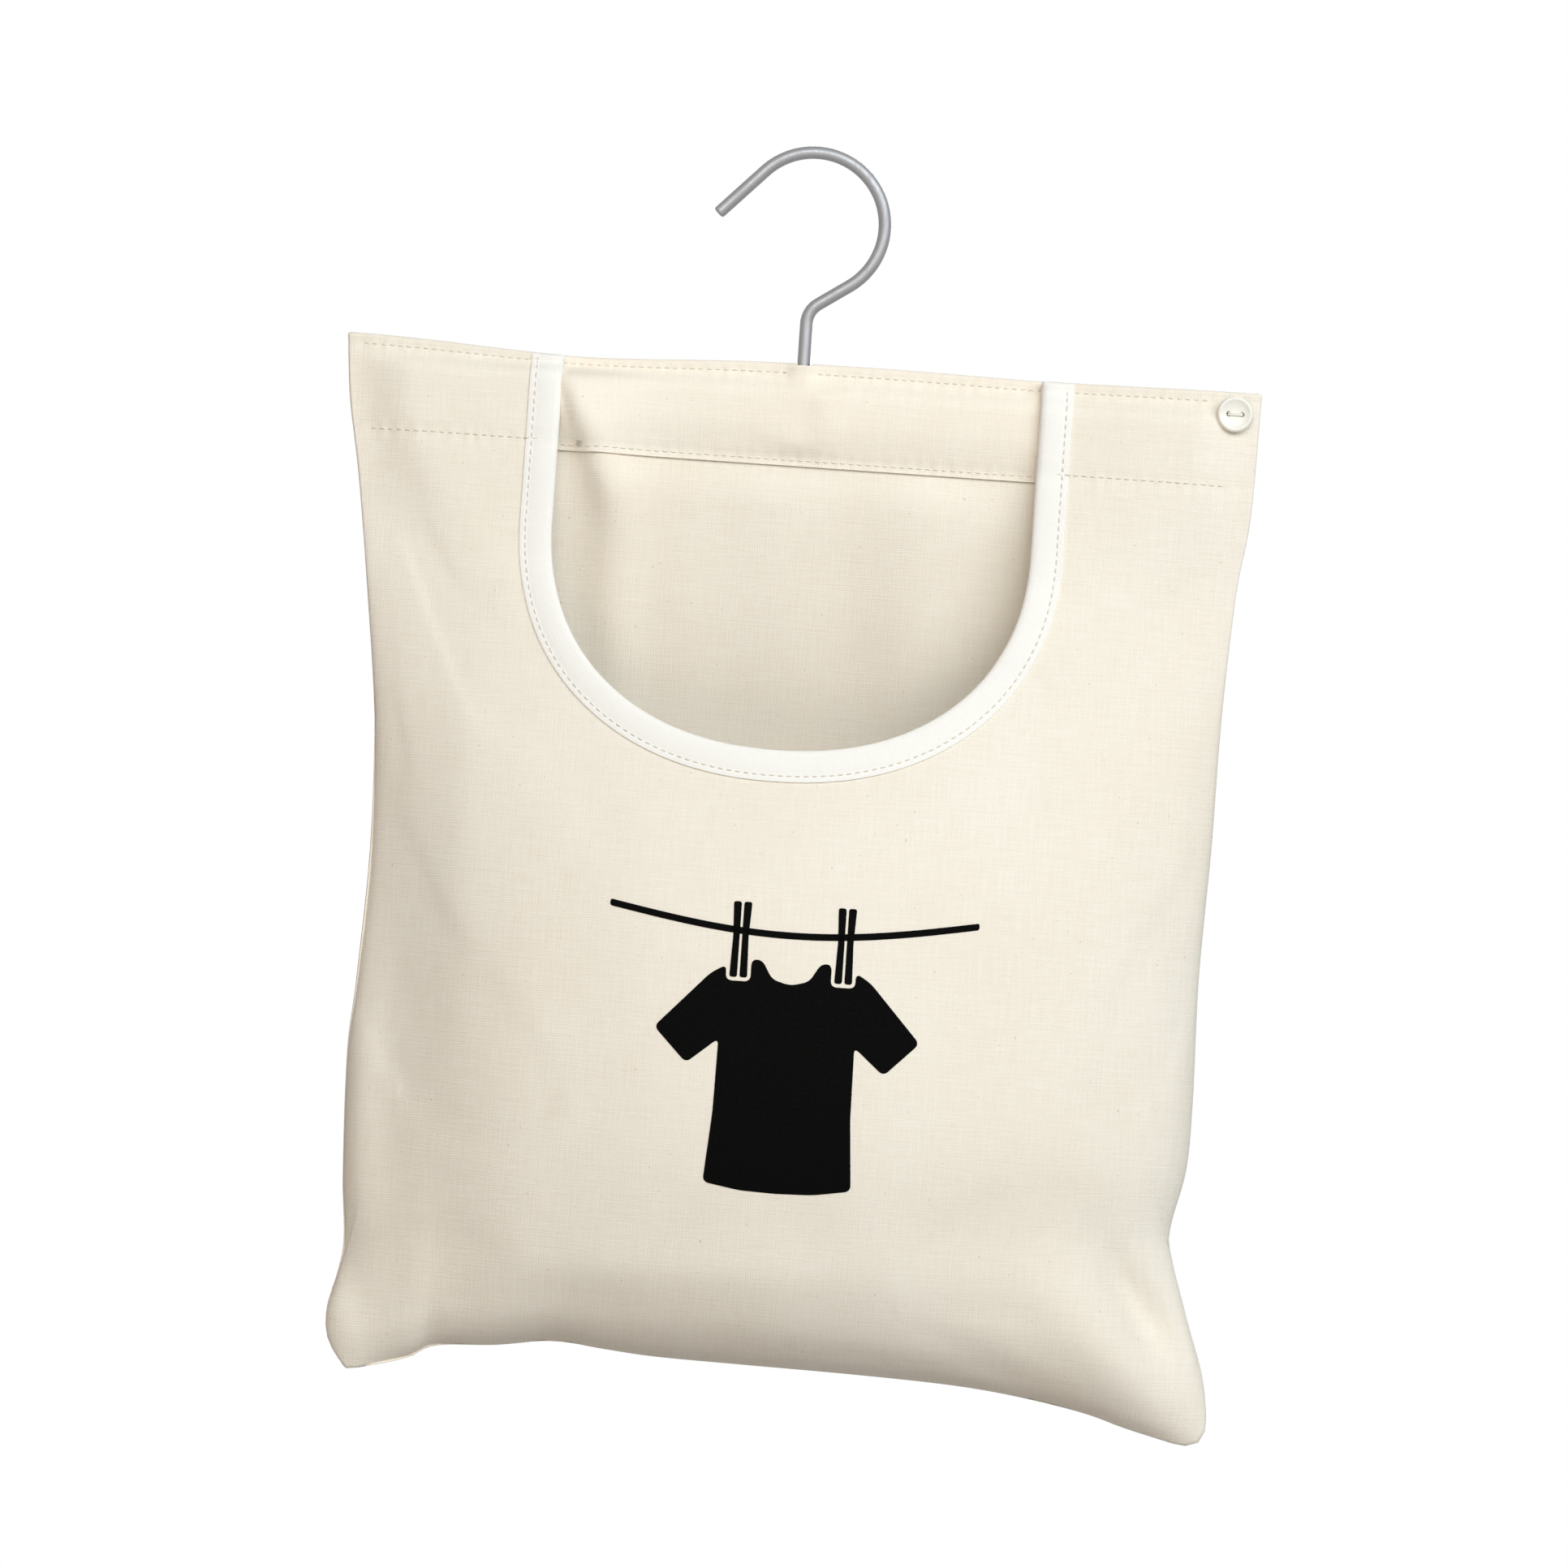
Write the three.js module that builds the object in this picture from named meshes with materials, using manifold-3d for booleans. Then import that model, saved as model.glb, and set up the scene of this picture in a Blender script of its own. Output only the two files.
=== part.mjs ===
// A canvas peg bag that hangs from a steel wire hook, in millimetres, +Z up.
// The origin is the inside of the hook's top, where a line or rail carries it. The bag opens towards -Y.
//
// Two cotton panels are hemmed at the top and sewn together along a narrow ridge there, down both
// sides and across the bottom. The back panel's hem is a casing round a flat wooden bar. The hook's
// shank drops through the casing's ridge and the bar, and turns on a washer under the bar.

import * as THREE from "three";
import { mergeVertices } from "three/addons/utils/BufferGeometryUtils.js";
import Module from "manifold-3d";

const wasm = await Module();
wasm.setup();

// The bag's outline, hanging
const topWidth = 300;
const sideDrop = 345;
const middleLift = 14;
const bottomTilt = 3;
const lean = 12;
const frontBulge = 46;
const backBulge = 38;

// The cloth and its hems
const clothThickness = 0.7;
const plyGap = 0.45;
const panelGap = 1.4;
const ridgeHeight = 4;
const ridgeStitch = 3;
const casingStitch = 32;
const hemStitch = 31;
const hemEdge = 2;
const seamClosing = 38;

// The mouth and its binding
const mouthWidth = 160;
const mouthDepth = 129;
const mouthStraight = 58;
const bindingWidth = 9.5;
const tapeThickness = 0.5;
const tapeStitchInset = 2;

// The wooden bar
const barEndRoom = 21;
const barThickness = 8;
const barHeight = 14;
const barCorner = 3;

// The hook
const wireDiameter = 4.2;
const loopRadius = 23.7;
const neckHeight = 17.7;
const neckRadius = 8;
const loopRise = 46.3;
const tailLength = 20.9;
const headDiameter = 5.6;
const headHeight = 2;
const washerDiameter = 8;
const washerThickness = 1;

// The corner button
const buttonDiameter = 12;
const buttonThickness = 2.2;
const buttonRim = 0.5;
const buttonRimWidth = 1.5;
const buttonHoleDiameter = 1.6;
const buttonHoleSpacing = 4.4;
const buttonFromSide = 7;
const buttonDrop = 6.8;
const buttonStand = 1.5;

// Sewing threads, each drawn as one unbroken run
const threadDiameter = 0.5;
const buttonThreadDiameter = 0.9;

// Clearances
const seatGap = 0.3;
const boreGap = 0.4;
const slotGap = 1.1;
const cutOverrun = 6;

// Shapes without a size of their own. A pair is the share of the way down, then the share kept.
const halfWidthShares = [
  [0, 1],
  [0.06, 0.995],
  [0.125, 0.98],
  [0.31, 0.935],
  [0.5, 0.919],
  [0.68, 0.93],
  [0.745, 0.926],
  [0.81, 0.907],
  [0.87, 0.923],
  [0.935, 0.965],
  [0.97, 0.969],
  [1, 0.942],
];
const leanShares = [
  [0, 0.02],
  [0.125, 0.25],
  [0.31, 0.44],
  [0.42, 0.54],
  [0.68, 0.43],
  [0.81, 0.27],
  [0.87, 0.6],
  [0.93, 0.75],
  [1, 1.08],
];
const bulgeShares = [
  [0, 0],
  [0.05, 0.05],
  [0.11, 0.16],
  [0.22, 0.4],
  [0.33, 0.64],
  [0.44, 0.82],
  [0.555, 0.94],
  [0.667, 1],
  [0.754, 1],
  [0.832, 0.93],
  [0.9, 0.78],
  [0.956, 0.54],
  [0.987, 0.28],
  [1, 0],
];
const crossPower = 0.85;
const earPower = 4;
const mouthPower = 2.2;
const rampSlope = 0.6;
const shoulderFadeShare = 0.33;
const barTopShare = 0.73;
const tailAngle = THREE.MathUtils.degToRad(135.9);
const neckAngle = THREE.MathUtils.degToRad(-56);

// How finely round shapes are drawn
const wireSides = 12;
const loopSteps = 30;
const bendSteps = 7;
const roundSides = 24;
const threadSides = 6;
const legSides = 8;
const barCornerSteps = 4;

// Sizes that follow from those above
const plyStep = clothThickness + plyGap;
const halfPly = plyStep / 2;
const halfCloth = clothThickness / 2;
const casingSwell = barThickness / 2 + seatGap + halfCloth - halfPly;
const rampLength = casingSwell / rampSlope;
const rampEnd = ridgeHeight + rampLength;
const barTop = ridgeHeight + rampLength * barTopShare;
const barBottom = barTop + barHeight;
const washerTop = barBottom + seatGap;
const headTop = washerTop + washerThickness + seatGap;
const headBottom = headTop + headHeight;
const casingDepth = casingStitch + hemEdge;
const hemDepth = hemStitch + hemEdge;
const shoulderLayers = halfPly + clothThickness + panelGap;
const outerPly = shoulderLayers + plyStep;
const halfTop = topWidth / 2;
const barLength = topWidth - 2 * barEndRoom;
const mouthHalf = mouthWidth / 2;
const bowlDepth = mouthDepth - mouthStraight;
const edgeToSeat = loopRise + loopRadius - wireDiameter / 2;

const clamp = (v, low = 0, high = 1) => Math.min(high, Math.max(low, v));
const mix = (a, b, t) => a + (b - a) * t;

// A smooth curve through a table of pairs.
function through(table, at) {
  const t = clamp(at, table[0][0], table[table.length - 1][0]);
  let i = 0;
  while (i < table.length - 2 && t > table[i + 1][0]) i++;
  const [x0, y0] = table[i];
  const [x1, y1] = table[i + 1];
  const before = table[Math.max(i - 1, 0)];
  const after = table[Math.min(i + 2, table.length - 1)];
  const width = x1 - x0;
  const startSlope = ((y1 - before[1]) / (x1 - before[0])) * width;
  const endSlope = ((after[1] - y0) / (after[0] - x0)) * width;
  const u = (t - x0) / width;
  const rise = 3 * u ** 2 - 2 * u ** 3;
  return y0 * (1 - rise) + y1 * rise + startSlope * u * (1 - u) ** 2 - endSlope * u ** 2 * (1 - u);
}

// Places on the flat outline: down is the drop below the top edge, side runs from -1 to 1.
const bottomAt = (side) => sideDrop - middleLift * (1 - Math.abs(side) ** earPower) + bottomTilt * side;
const halfWidthAt = (down) => halfTop * through(halfWidthShares, down / sideDrop);
const leanAt = (down) => lean * through(leanShares, down / sideDrop);
const acrossAt = (side, down) => side * halfWidthAt(down) + leanAt(down);
const sideAt = (x, down) => clamp((x - leanAt(down)) / halfWidthAt(down), -1, 1);

// Where the bar's end stands across the bag, and where the cloth closes again beyond it.
const barEnd = (barLength / 2 + seatGap + leanAt(barBottom)) / halfWidthAt(barBottom);
const taperEnd = barEnd + rampLength / halfTop;

// How far a panel swells between its seams, from 0 to 1.
function swellAt(side, down) {
  const share = clamp((down - casingDepth) / (bottomAt(side) - casingDepth));
  return through(bulgeShares, share) * (1 - side ** 2) ** crossPower;
}

// How far the casing stands open round the bar, from 0 to 1, and how the front panel falls away below it.
const rampAt = (down) => clamp((down - ridgeHeight) / rampLength);
const taperAt = (side) => clamp((taperEnd - Math.abs(side)) / (taperEnd - barEnd));
function casingAt(side, down) {
  const closing = clamp((casingStitch - down) / (casingStitch - headTop));
  return rampAt(down) * closing * taperAt(side);
}
function shoulderAt(side, down) {
  const fall = clamp((down - barBottom) / mouthDepth);
  const inner = mix(barEnd, barEnd * shoulderFadeShare, fall);
  const outer = mix(taperEnd, 1, fall);
  return rampAt(down) * (1 - fall) * clamp((outer - Math.abs(side)) / (outer - inner));
}

// The middle surfaces of the four plies, front to back: outer, hem, facing, back.
function outerPoint(x, down) {
  const side = sideAt(x, down);
  const closing = clamp((down - hemDepth) / seamClosing);
  const stack = mix(outerPly, halfPly, closing);
  const y = stack + casingSwell * shoulderAt(side, down) + frontBulge * swellAt(side, down);
  return new THREE.Vector3(x, -y, -down);
}
const hemPoint = (x, down) => outerPoint(x, down).add(new THREE.Vector3(0, plyStep, 0));
function backPoint(side, down) {
  const y = halfPly + casingSwell * casingAt(side, down) + backBulge * swellAt(side, down);
  return new THREE.Vector3(acrossAt(side, down), y, -down);
}
function facingPoint(side, down) {
  const y = halfPly + casingSwell * casingAt(side, down);
  return new THREE.Vector3(acrossAt(side, down), -y, -down);
}

// The normals of a grid of points. Each is lengthened at a crease, so that an offset stays parallel.
function direction(points, i) {
  const before = points[i].clone().sub(points[Math.max(i - 1, 0)]).normalize();
  const after = points[Math.min(i + 1, points.length - 1)].clone().sub(points[i]).normalize();
  const sum = before.add(after);
  const isEnd = i === 0 || i === points.length - 1;
  return { way: sum.clone().normalize(), stretch: isEnd ? 1 : 2 / sum.length() };
}
function gridNormals(grid) {
  const columns = grid[0].map((_, j) => grid.map((row) => row[j]));
  return grid.map((row, i) =>
    row.map((_, j) => {
      const down = direction(columns[j], i);
      const across = direction(row, j);
      return down.way.cross(across.way).normalize().multiplyScalar(down.stretch * across.stretch);
    }),
  );
}

// A closed sheet of even thickness round a grid of points on its middle surface. Each square is
// split along its shorter diagonal, so that sheets that lie on each other crease alike.
function sheet(grid, thickness) {
  const normals = gridNormals(grid);
  const rows = grid.length;
  const columns = grid[0].length;
  const points = [];
  for (const reach of [thickness / 2, -thickness / 2]) {
    const side = grid.map((row, i) => row.map((p, j) => p.clone().addScaledVector(normals[i][j], reach)));
    points.push(...side.flat());
  }
  const index = [];
  const quad = (a, b, c, d) => index.push(a, b, c, a, c, d);
  const front = (i, j) => i * columns + j;
  const back = (i, j) => rows * columns + i * columns + j;
  for (let i = 0; i < rows - 1; i++) {
    for (let j = 0; j < columns - 1; j++) {
      const falling = grid[i][j].distanceTo(grid[i + 1][j + 1]);
      const rising = grid[i + 1][j].distanceTo(grid[i][j + 1]);
      if (falling < rising) {
        quad(front(i, j), front(i + 1, j), front(i + 1, j + 1), front(i, j + 1));
        quad(back(i, j), back(i, j + 1), back(i + 1, j + 1), back(i + 1, j));
      } else {
        quad(front(i + 1, j), front(i + 1, j + 1), front(i, j + 1), front(i, j));
        quad(back(i, j + 1), back(i + 1, j + 1), back(i + 1, j), back(i, j));
      }
    }
    quad(front(i, 0), back(i, 0), back(i + 1, 0), front(i + 1, 0));
    quad(front(i, columns - 1), front(i + 1, columns - 1), back(i + 1, columns - 1), back(i, columns - 1));
  }
  for (let j = 0; j < columns - 1; j++) {
    quad(front(0, j), front(0, j + 1), back(0, j + 1), back(0, j));
    quad(front(rows - 1, j), back(rows - 1, j), back(rows - 1, j + 1), front(rows - 1, j + 1));
  }
  return new THREE.BufferGeometry().setFromPoints(points).setIndex(index);
}

// Joins and cuts, through manifold-3d.
function solidOf(geometry) {
  const bare = new THREE.BufferGeometry().setAttribute("position", geometry.getAttribute("position"));
  bare.setIndex(geometry.index);
  const merged = mergeVertices(bare);
  return new wasm.Manifold(
    new wasm.Mesh({
      numProp: 3,
      vertProperties: new Float32Array(merged.attributes.position.array),
      triVerts: new Uint32Array(merged.index.array),
    }),
  );
}
function geometryOf(solid) {
  const mesh = solid.getMesh();
  return new THREE.BufferGeometry()
    .setAttribute("position", new THREE.BufferAttribute(mesh.vertProperties, 3))
    .setIndex(new THREE.BufferAttribute(mesh.triVerts, 1));
}
const cut = (body, ...tools) => geometryOf(tools.reduce((s, t) => s.subtract(solidOf(t)), solidOf(body)));
const join = (body, ...others) => geometryOf(others.reduce((s, o) => s.add(solidOf(o)), solidOf(body)));

// A round bar that stands along Z, from one height down to another.
function post(diameter, top, bottom) {
  const length = top - bottom;
  return new THREE.CylinderGeometry(diameter / 2, diameter / 2, length, roundSides)
    .rotateX(Math.PI / 2)
    .translate(0, 0, top - length / 2);
}

// A curve that runs straight from each point to the next and takes one step for each run.
class PointRun extends THREE.Curve {
  constructor(points) {
    super();
    this.points = points;
  }
  getPoint(t, target = new THREE.Vector3()) {
    const place = clamp(t) * (this.points.length - 1);
    const i = Math.min(Math.floor(place), this.points.length - 2);
    return target.lerpVectors(this.points[i], this.points[i + 1], place - i);
  }
  getPointAt(t, target) {
    return this.getPoint(t, target);
  }
  getTangentAt(t, target) {
    return this.getTangent(t, target);
  }
}

// A round rod through a row of points.
function rod(points, diameter, sides) {
  const turns = Array.from({ length: sides }, (_, k) => (2 * Math.PI * k) / sides);
  const section = new THREE.Shape(
    turns.map((angle) => new THREE.Vector2(Math.cos(angle), Math.sin(angle)).multiplyScalar(diameter / 2)),
  );
  const path = { extrudePath: new PointRun(points), steps: points.length - 1, bevelEnabled: false };
  return new THREE.ExtrudeGeometry(section, path);
}

// A sewing thread that lies along part of a sheet's row, in front of it.
function threadAlong(row, normals, from, to, lift = clothThickness / 2) {
  const reach = lift + seatGap + threadDiameter / 2;
  const points = row.map((p, j) => {
    const normal = normals[j];
    return p.clone().addScaledVector(normal, -Math.sign(normal.y) * reach);
  });
  return rod(points.slice(from, to), threadDiameter, threadSides);
}

// The front panel's grid. A row runs from the mouth's edge out to the side or bottom edge.
// Rows go from the left hem's end over the ridge, down the left shoulder, round the mouth's bowl,
// up the right shoulder, over the ridge again and down to the right hem's end.
const insetShares = [0, 0.5, 1];
const bindingEdge = mouthHalf + bindingWidth;
const spanShareAt = (side) => (side * halfTop - bindingEdge) / (halfTop - bindingEdge);
const overBarShares = [0.04, 0.21, 0.39, 0.57, 0.74, 0.88, 1];
const nearSeamShare = 0.6;
const barSpan = spanShareAt(barEnd);
const taperSpan = spanShareAt(taperEnd);
const overBar = overBarShares.map((share) => share * barSpan);
const spans = [...overBar, taperSpan, mix(taperSpan, 1, nearSeamShare), 1];
const shoulderDrops = [
  halfPly,
  ridgeStitch,
  ridgeHeight,
  rampEnd,
  barBottom,
  hemStitch,
  hemDepth,
];
const straightShares = [0.45, 1];
const sideShares = [0.17, 0.34, 0.5, 0.64, 0.77, 0.85, 0.915, 0.96, 1];
const bottomSideShares = [0.93, 0.82, 0.66, 0.48, 0.25, 0];
const cornerTurn = THREE.MathUtils.degToRad(36);
const foldTurnShares = [0.25, 0.5, 0.75];

function mouthPoint(turn) {
  const x = mouthHalf * Math.cos(turn) ** (2 / mouthPower);
  const fall = Math.sin(turn) ** (2 / mouthPower);
  const out = new THREE.Vector2(
    (x / mouthHalf) ** (mouthPower - 1) / mouthHalf,
    fall ** (mouthPower - 1) / bowlDepth,
  ).normalize();
  return { edge: new THREE.Vector2(x, mouthStraight + bowlDepth * fall), out };
}

// One row's places on the flat outline, for the left half (hand is -1) or the right half (1).
function rowPlaces(hand, edge, out, rim) {
  const flip = new THREE.Vector2(hand, 1);
  const from = edge.clone().multiply(flip);
  const away = out.clone().multiply(flip);
  const inset = insetShares.map((share) => from.clone().addScaledVector(away, share * bindingWidth));
  const start = inset[inset.length - 1];
  return [...inset, ...spans.map((share) => start.clone().lerp(rim, share))];
}

function halfRows(hand) {
  const level = new THREE.Vector2(1, 0);
  const rimAt = (down) => new THREE.Vector2(acrossAt(hand, down), down);
  const straight = (down) => rowPlaces(hand, new THREE.Vector2(mouthHalf, down), level, rimAt(down));
  const belowHem = straightShares.map((share) => mix(hemDepth, mouthStraight, share));
  const rows = [];
  const hemRows = shoulderDrops.map(straight);
  hemRows.toReversed().forEach((places) => rows.push(places.map((p) => hemPoint(p.x, p.y))));
  const ridge = hemRows[0];
  for (const turn of foldTurnShares) {
    const angle = Math.PI * turn;
    rows.push(
      ridge.map((p) => {
        const middle = outerPoint(p.x, halfPly).lerp(hemPoint(p.x, halfPly), 0.5);
        return middle.add(new THREE.Vector3(0, Math.cos(angle), Math.sin(angle)).multiplyScalar(halfPly));
      }),
    );
  }
  const outerRows = [...hemRows, ...belowHem.map(straight)];
  for (const share of sideShares) {
    const { edge, out } = mouthPoint(cornerTurn * share);
    outerRows.push(rowPlaces(hand, edge, out, rimAt(mix(mouthStraight, bottomAt(hand), share))));
  }
  for (const side of bottomSideShares) {
    const { edge, out } = mouthPoint(mix(Math.PI / 2, cornerTurn, side));
    const down = bottomAt(hand * side);
    outerRows.push(rowPlaces(hand, edge, out, new THREE.Vector2(acrossAt(hand * side, down), down)));
  }
  outerRows.forEach((places) => rows.push(places.map((p) => outerPoint(p.x, p.y))));
  return rows;
}

const leftRows = halfRows(-1);
const rightRows = halfRows(1);
const frontGrid = [...leftRows, ...rightRows.toReversed().slice(1)];
const frontPanel = sheet(frontGrid, clothThickness);

// The back panel's grid. A row runs from the left side to the right. Rows go from the casing hem's
// lower edge up the facing, over the ridge and down the back to the bottom edge.
const alongBarShares = [0.04, 0.16, 0.31, 0.45, 0.58, 0.71, 0.85, 1];
const backEdges = [taperEnd, mix(taperEnd, 1, nearSeamShare), 1];
const backHalf = [...alongBarShares.map((share) => share * barEnd), ...backEdges];
const backColumns = [...backHalf.map((side) => -side).toReversed(), 0, ...backHalf];
const backShares = [0.05, 0.12, 0.2, 0.3, 0.4, 0.5, 0.6, 0.7, 0.79, 0.86, 0.91, 0.95, 0.98, 1];
const casingDrops = [halfPly, ridgeStitch, ridgeHeight, rampEnd, headTop, casingStitch, casingDepth];
const acrossBack = (pointAt) => backColumns.map((side) => pointAt(side));
const facingRows = casingDrops.toReversed().map((down) => acrossBack((side) => facingPoint(side, down)));
const turnedRows = foldTurnShares.map((turn) => {
  const angle = Math.PI * turn;
  const reach = new THREE.Vector3(0, -Math.cos(angle), Math.sin(angle)).multiplyScalar(halfPly);
  return acrossBack((side) => new THREE.Vector3(acrossAt(side, halfPly), 0, -halfPly).add(reach));
});
const backRows = [
  ...casingDrops.map((down) => acrossBack((side) => backPoint(side, down))),
  ...backShares.map((share) =>
    acrossBack((side) => backPoint(side, mix(casingDepth, bottomAt(side), share))),
  ),
];
const slotBottom = ridgeHeight + (wireDiameter / 2 + slotGap) / rampSlope;
const slot = post(wireDiameter + 2 * slotGap, cutOverrun, -slotBottom);
const backGrid = [...facingRows, ...turnedRows, ...backRows];
const backPanel = cut(sheet(backGrid, clothThickness), slot);

// The binding: a tape folded round the mouth's edge. On the shoulders it takes in the hem's ply too.
const frontNormals = gridNormals(frontGrid);
const hemCount = shoulderDrops.length;
const firstOuter = hemCount + foldTurnShares.length;
const lastOuter = frontGrid.length - 1 - firstOuter;
const legReach = halfCloth + seatGap + tapeThickness / 2;
const bindingGrid = [];
const threadOnBinding = [];
for (let i = firstOuter; i <= lastOuter; i++) {
  const fromEnd = Math.min(i - firstOuter, lastOuter - i);
  const doubled = fromEnd < hemCount ? 1 : 0;
  const normal = (j) => frontNormals[i][j].clone().multiplyScalar(-Math.sign(frontNormals[i][j].y));
  const hemStep = new THREE.Vector3(0, doubled * plyStep, 0);
  const offset = (j, reach) => frontGrid[i][j].clone().addScaledVector(normal(j), reach);
  const leg = (reach) => insetShares.map((_, j) => offset(j, reach));
  const frontLeg = leg(legReach);
  const backLeg = leg(-legReach).map((p) => p.add(hemStep));
  const outward = frontGrid[i][0].clone().sub(frontGrid[i][1]).normalize();
  const middle = frontLeg[0].clone().lerp(backLeg[0], 0.5);
  const turnReach = frontLeg[0].clone().sub(middle);
  const fold = foldTurnShares.map((turn) => {
    const angle = Math.PI * turn;
    const turned = turnReach.clone().multiplyScalar(Math.cos(angle));
    return turned.addScaledVector(outward, Math.sin(angle) * turnReach.length()).add(middle);
  });
  bindingGrid.push([...frontLeg.toReversed(), ...fold, ...backLeg]);
  const stitchLine = frontLeg[2].clone().lerp(frontLeg[1], (2 * tapeStitchInset) / bindingWidth);
  const lift = tapeThickness / 2 + seatGap + threadDiameter / 2;
  threadOnBinding.push(stitchLine.addScaledVector(normal(1), lift));
}
const mouthBinding = sheet(bindingGrid, tapeThickness);
const bindingThread = rod(threadOnBinding, threadDiameter, threadSides);

// The threads along the ridge, the hems and the casing.
const beside = insetShares.length;
const frontEnd = beside + spans.length - 1;
const ridgeRow = firstOuter + shoulderDrops.indexOf(ridgeStitch);
const hemRow = firstOuter + shoulderDrops.indexOf(hemStitch);
const mirrored = (row) => frontGrid.length - 1 - row;
const frontThread = (row, to = frontEnd) => threadAlong(frontGrid[row], frontNormals[row], beside, to);
const leftRidgeThread = frontThread(ridgeRow);
const buttonX = halfTop - buttonFromSide;
const buttonEdge = buttonX - buttonDiameter / 2 - seatGap;
const clearOfButton = frontGrid[mirrored(ridgeRow)].findIndex((p) => p.x > buttonEdge);
const rightRidgeThread = frontThread(mirrored(ridgeRow), clearOfButton);
const leftHemThread = frontThread(hemRow);
const rightHemThread = frontThread(mirrored(hemRow));
const backNormals = gridNormals(backGrid);
const casingRow = facingRows.length - 1 - casingDrops.indexOf(casingStitch);
const backRidgeRow = facingRows.length - 1 - casingDrops.indexOf(ridgeStitch);
const facingThread = (row, from, to) => threadAlong(backGrid[row], backNormals[row], from, to);
const middleColumn = backHalf.length;
const seenColumns = backHalf.filter((side) => side * halfTop < mouthHalf).length;
const leftBackThread = facingThread(backRidgeRow, middleColumn - seenColumns, middleColumn);
const rightBackThread = facingThread(backRidgeRow, middleColumn + 1, middleColumn + 1 + seenColumns);
const casingThread = facingThread(casingRow, 1, backColumns.length - 1);

// The wooden bar, with the hole for the hook's shank.
function barShape() {
  const half = barThickness / 2 - barCorner;
  const top = barHeight / 2 - barCorner;
  const shape = new THREE.Shape();
  const corners = [
    [half, top, 0],
    [-half, top, 1],
    [-half, -top, 2],
    [half, -top, 3],
  ];
  for (const [x, y, quarter] of corners) {
    shape.absarc(x, y, barCorner, (quarter * Math.PI) / 2, ((quarter + 1) * Math.PI) / 2);
  }
  return shape;
}
const barMiddle = -(barTop + barHeight / 2);
const barDepth = { depth: barLength, bevelEnabled: false, curveSegments: barCornerSteps };
const barBlank = new THREE.ExtrudeGeometry(barShape(), barDepth)
  .translate(0, 0, -barLength / 2)
  .rotateX(Math.PI / 2)
  .rotateZ(Math.PI / 2)
  .translate(0, 0, barMiddle);
const bore = post(wireDiameter + 2 * boreGap, -barTop + cutOverrun, -barBottom - cutOverrun);
const hangerBar = cut(barBlank, bore);

// The washer under the bar.
const washerHole = post(wireDiameter + 2 * boreGap, -washerTop + cutOverrun, -washerTop - cutOverrun);
const washer = cut(post(washerDiameter, -washerTop, -washerTop - washerThickness), washerHole);

// The hook: a straight tail, the loop, a slanting run, the neck's bend and the shank, in the plane y = 0.
const wirePoint = (x, z) => new THREE.Vector3(x, 0, z);
function arcPoints(centre, radius, from, to, count) {
  return Array.from({ length: count + 1 }, (_, k) => {
    const angle = mix(from, to, k / count);
    return wirePoint(radius * Math.cos(angle), radius * Math.sin(angle)).add(centre);
  });
}
const loopPoints = arcPoints(wirePoint(0, loopRise), loopRadius, tailAngle, neckAngle, loopSteps);
const tailRun = wirePoint(-Math.sin(tailAngle), Math.cos(tailAngle)).multiplyScalar(tailLength);
const tailTip = loopPoints[0].clone().add(tailRun);
const bendDrop = neckHeight - neckRadius * Math.tan(-neckAngle / 2);
const neckCentre = wirePoint(neckRadius, bendDrop);
const neckPoints = arcPoints(neckCentre, neckRadius, Math.PI + neckAngle, Math.PI, bendSteps);
const shankEnd = wirePoint(0, -headTop - headHeight / 2);
const shank = rod([tailTip, ...loopPoints, ...neckPoints, shankEnd], wireDiameter, wireSides);
const head = post(headDiameter, -headTop, -headBottom);
const hookWire = join(shank, head);

// The two-hole button on the right-hand corner, and the thread that holds it.
const buttonBack = outerPly + halfCloth + buttonStand;
const buttonPlace = new THREE.Vector3(buttonX, -buttonBack, -buttonDrop);
const half = buttonDiameter / 2;
const dish = buttonThickness - buttonRim;
const buttonProfile = [
  [0, 0],
  [half - buttonRim, 0],
  [half, buttonRim],
  [half, buttonThickness - buttonRim],
  [half - buttonRim, buttonThickness],
  [half - buttonRimWidth, buttonThickness],
  [half - buttonRimWidth - buttonRim, dish],
  [0, dish],
].map(([r, h]) => new THREE.Vector2(r, h));
const legX = buttonHoleSpacing / 2;
function stick(diameter, length, sides) {
  return new THREE.CylinderGeometry(diameter / 2, diameter / 2, length, sides);
}
const holeAt = (hand) => stick(buttonHoleDiameter, 2 * cutOverrun, legSides).translate(hand * legX, 0, 0);
const towardsFront = (geometry) => geometry.rotateX(Math.PI).translate(...buttonPlace.toArray());
const button = towardsFront(cut(new THREE.LatheGeometry(buttonProfile, roundSides), holeAt(-1), holeAt(1)));
const stitchTop = dish + seatGap + buttonThreadDiameter / 2;
const stitchFoot = seatGap - buttonStand;
const legLength = stitchTop - stitchFoot;
const legAt = (hand) =>
  stick(buttonThreadDiameter, legLength, legSides).translate(hand * legX, stitchFoot + legLength / 2, 0);
const bridge = stick(buttonThreadDiameter, buttonHoleSpacing, legSides).rotateZ(Math.PI / 2);
const buttonThread = towardsFront(join(bridge.translate(0, stitchTop, 0), legAt(-1), legAt(1)));

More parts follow.
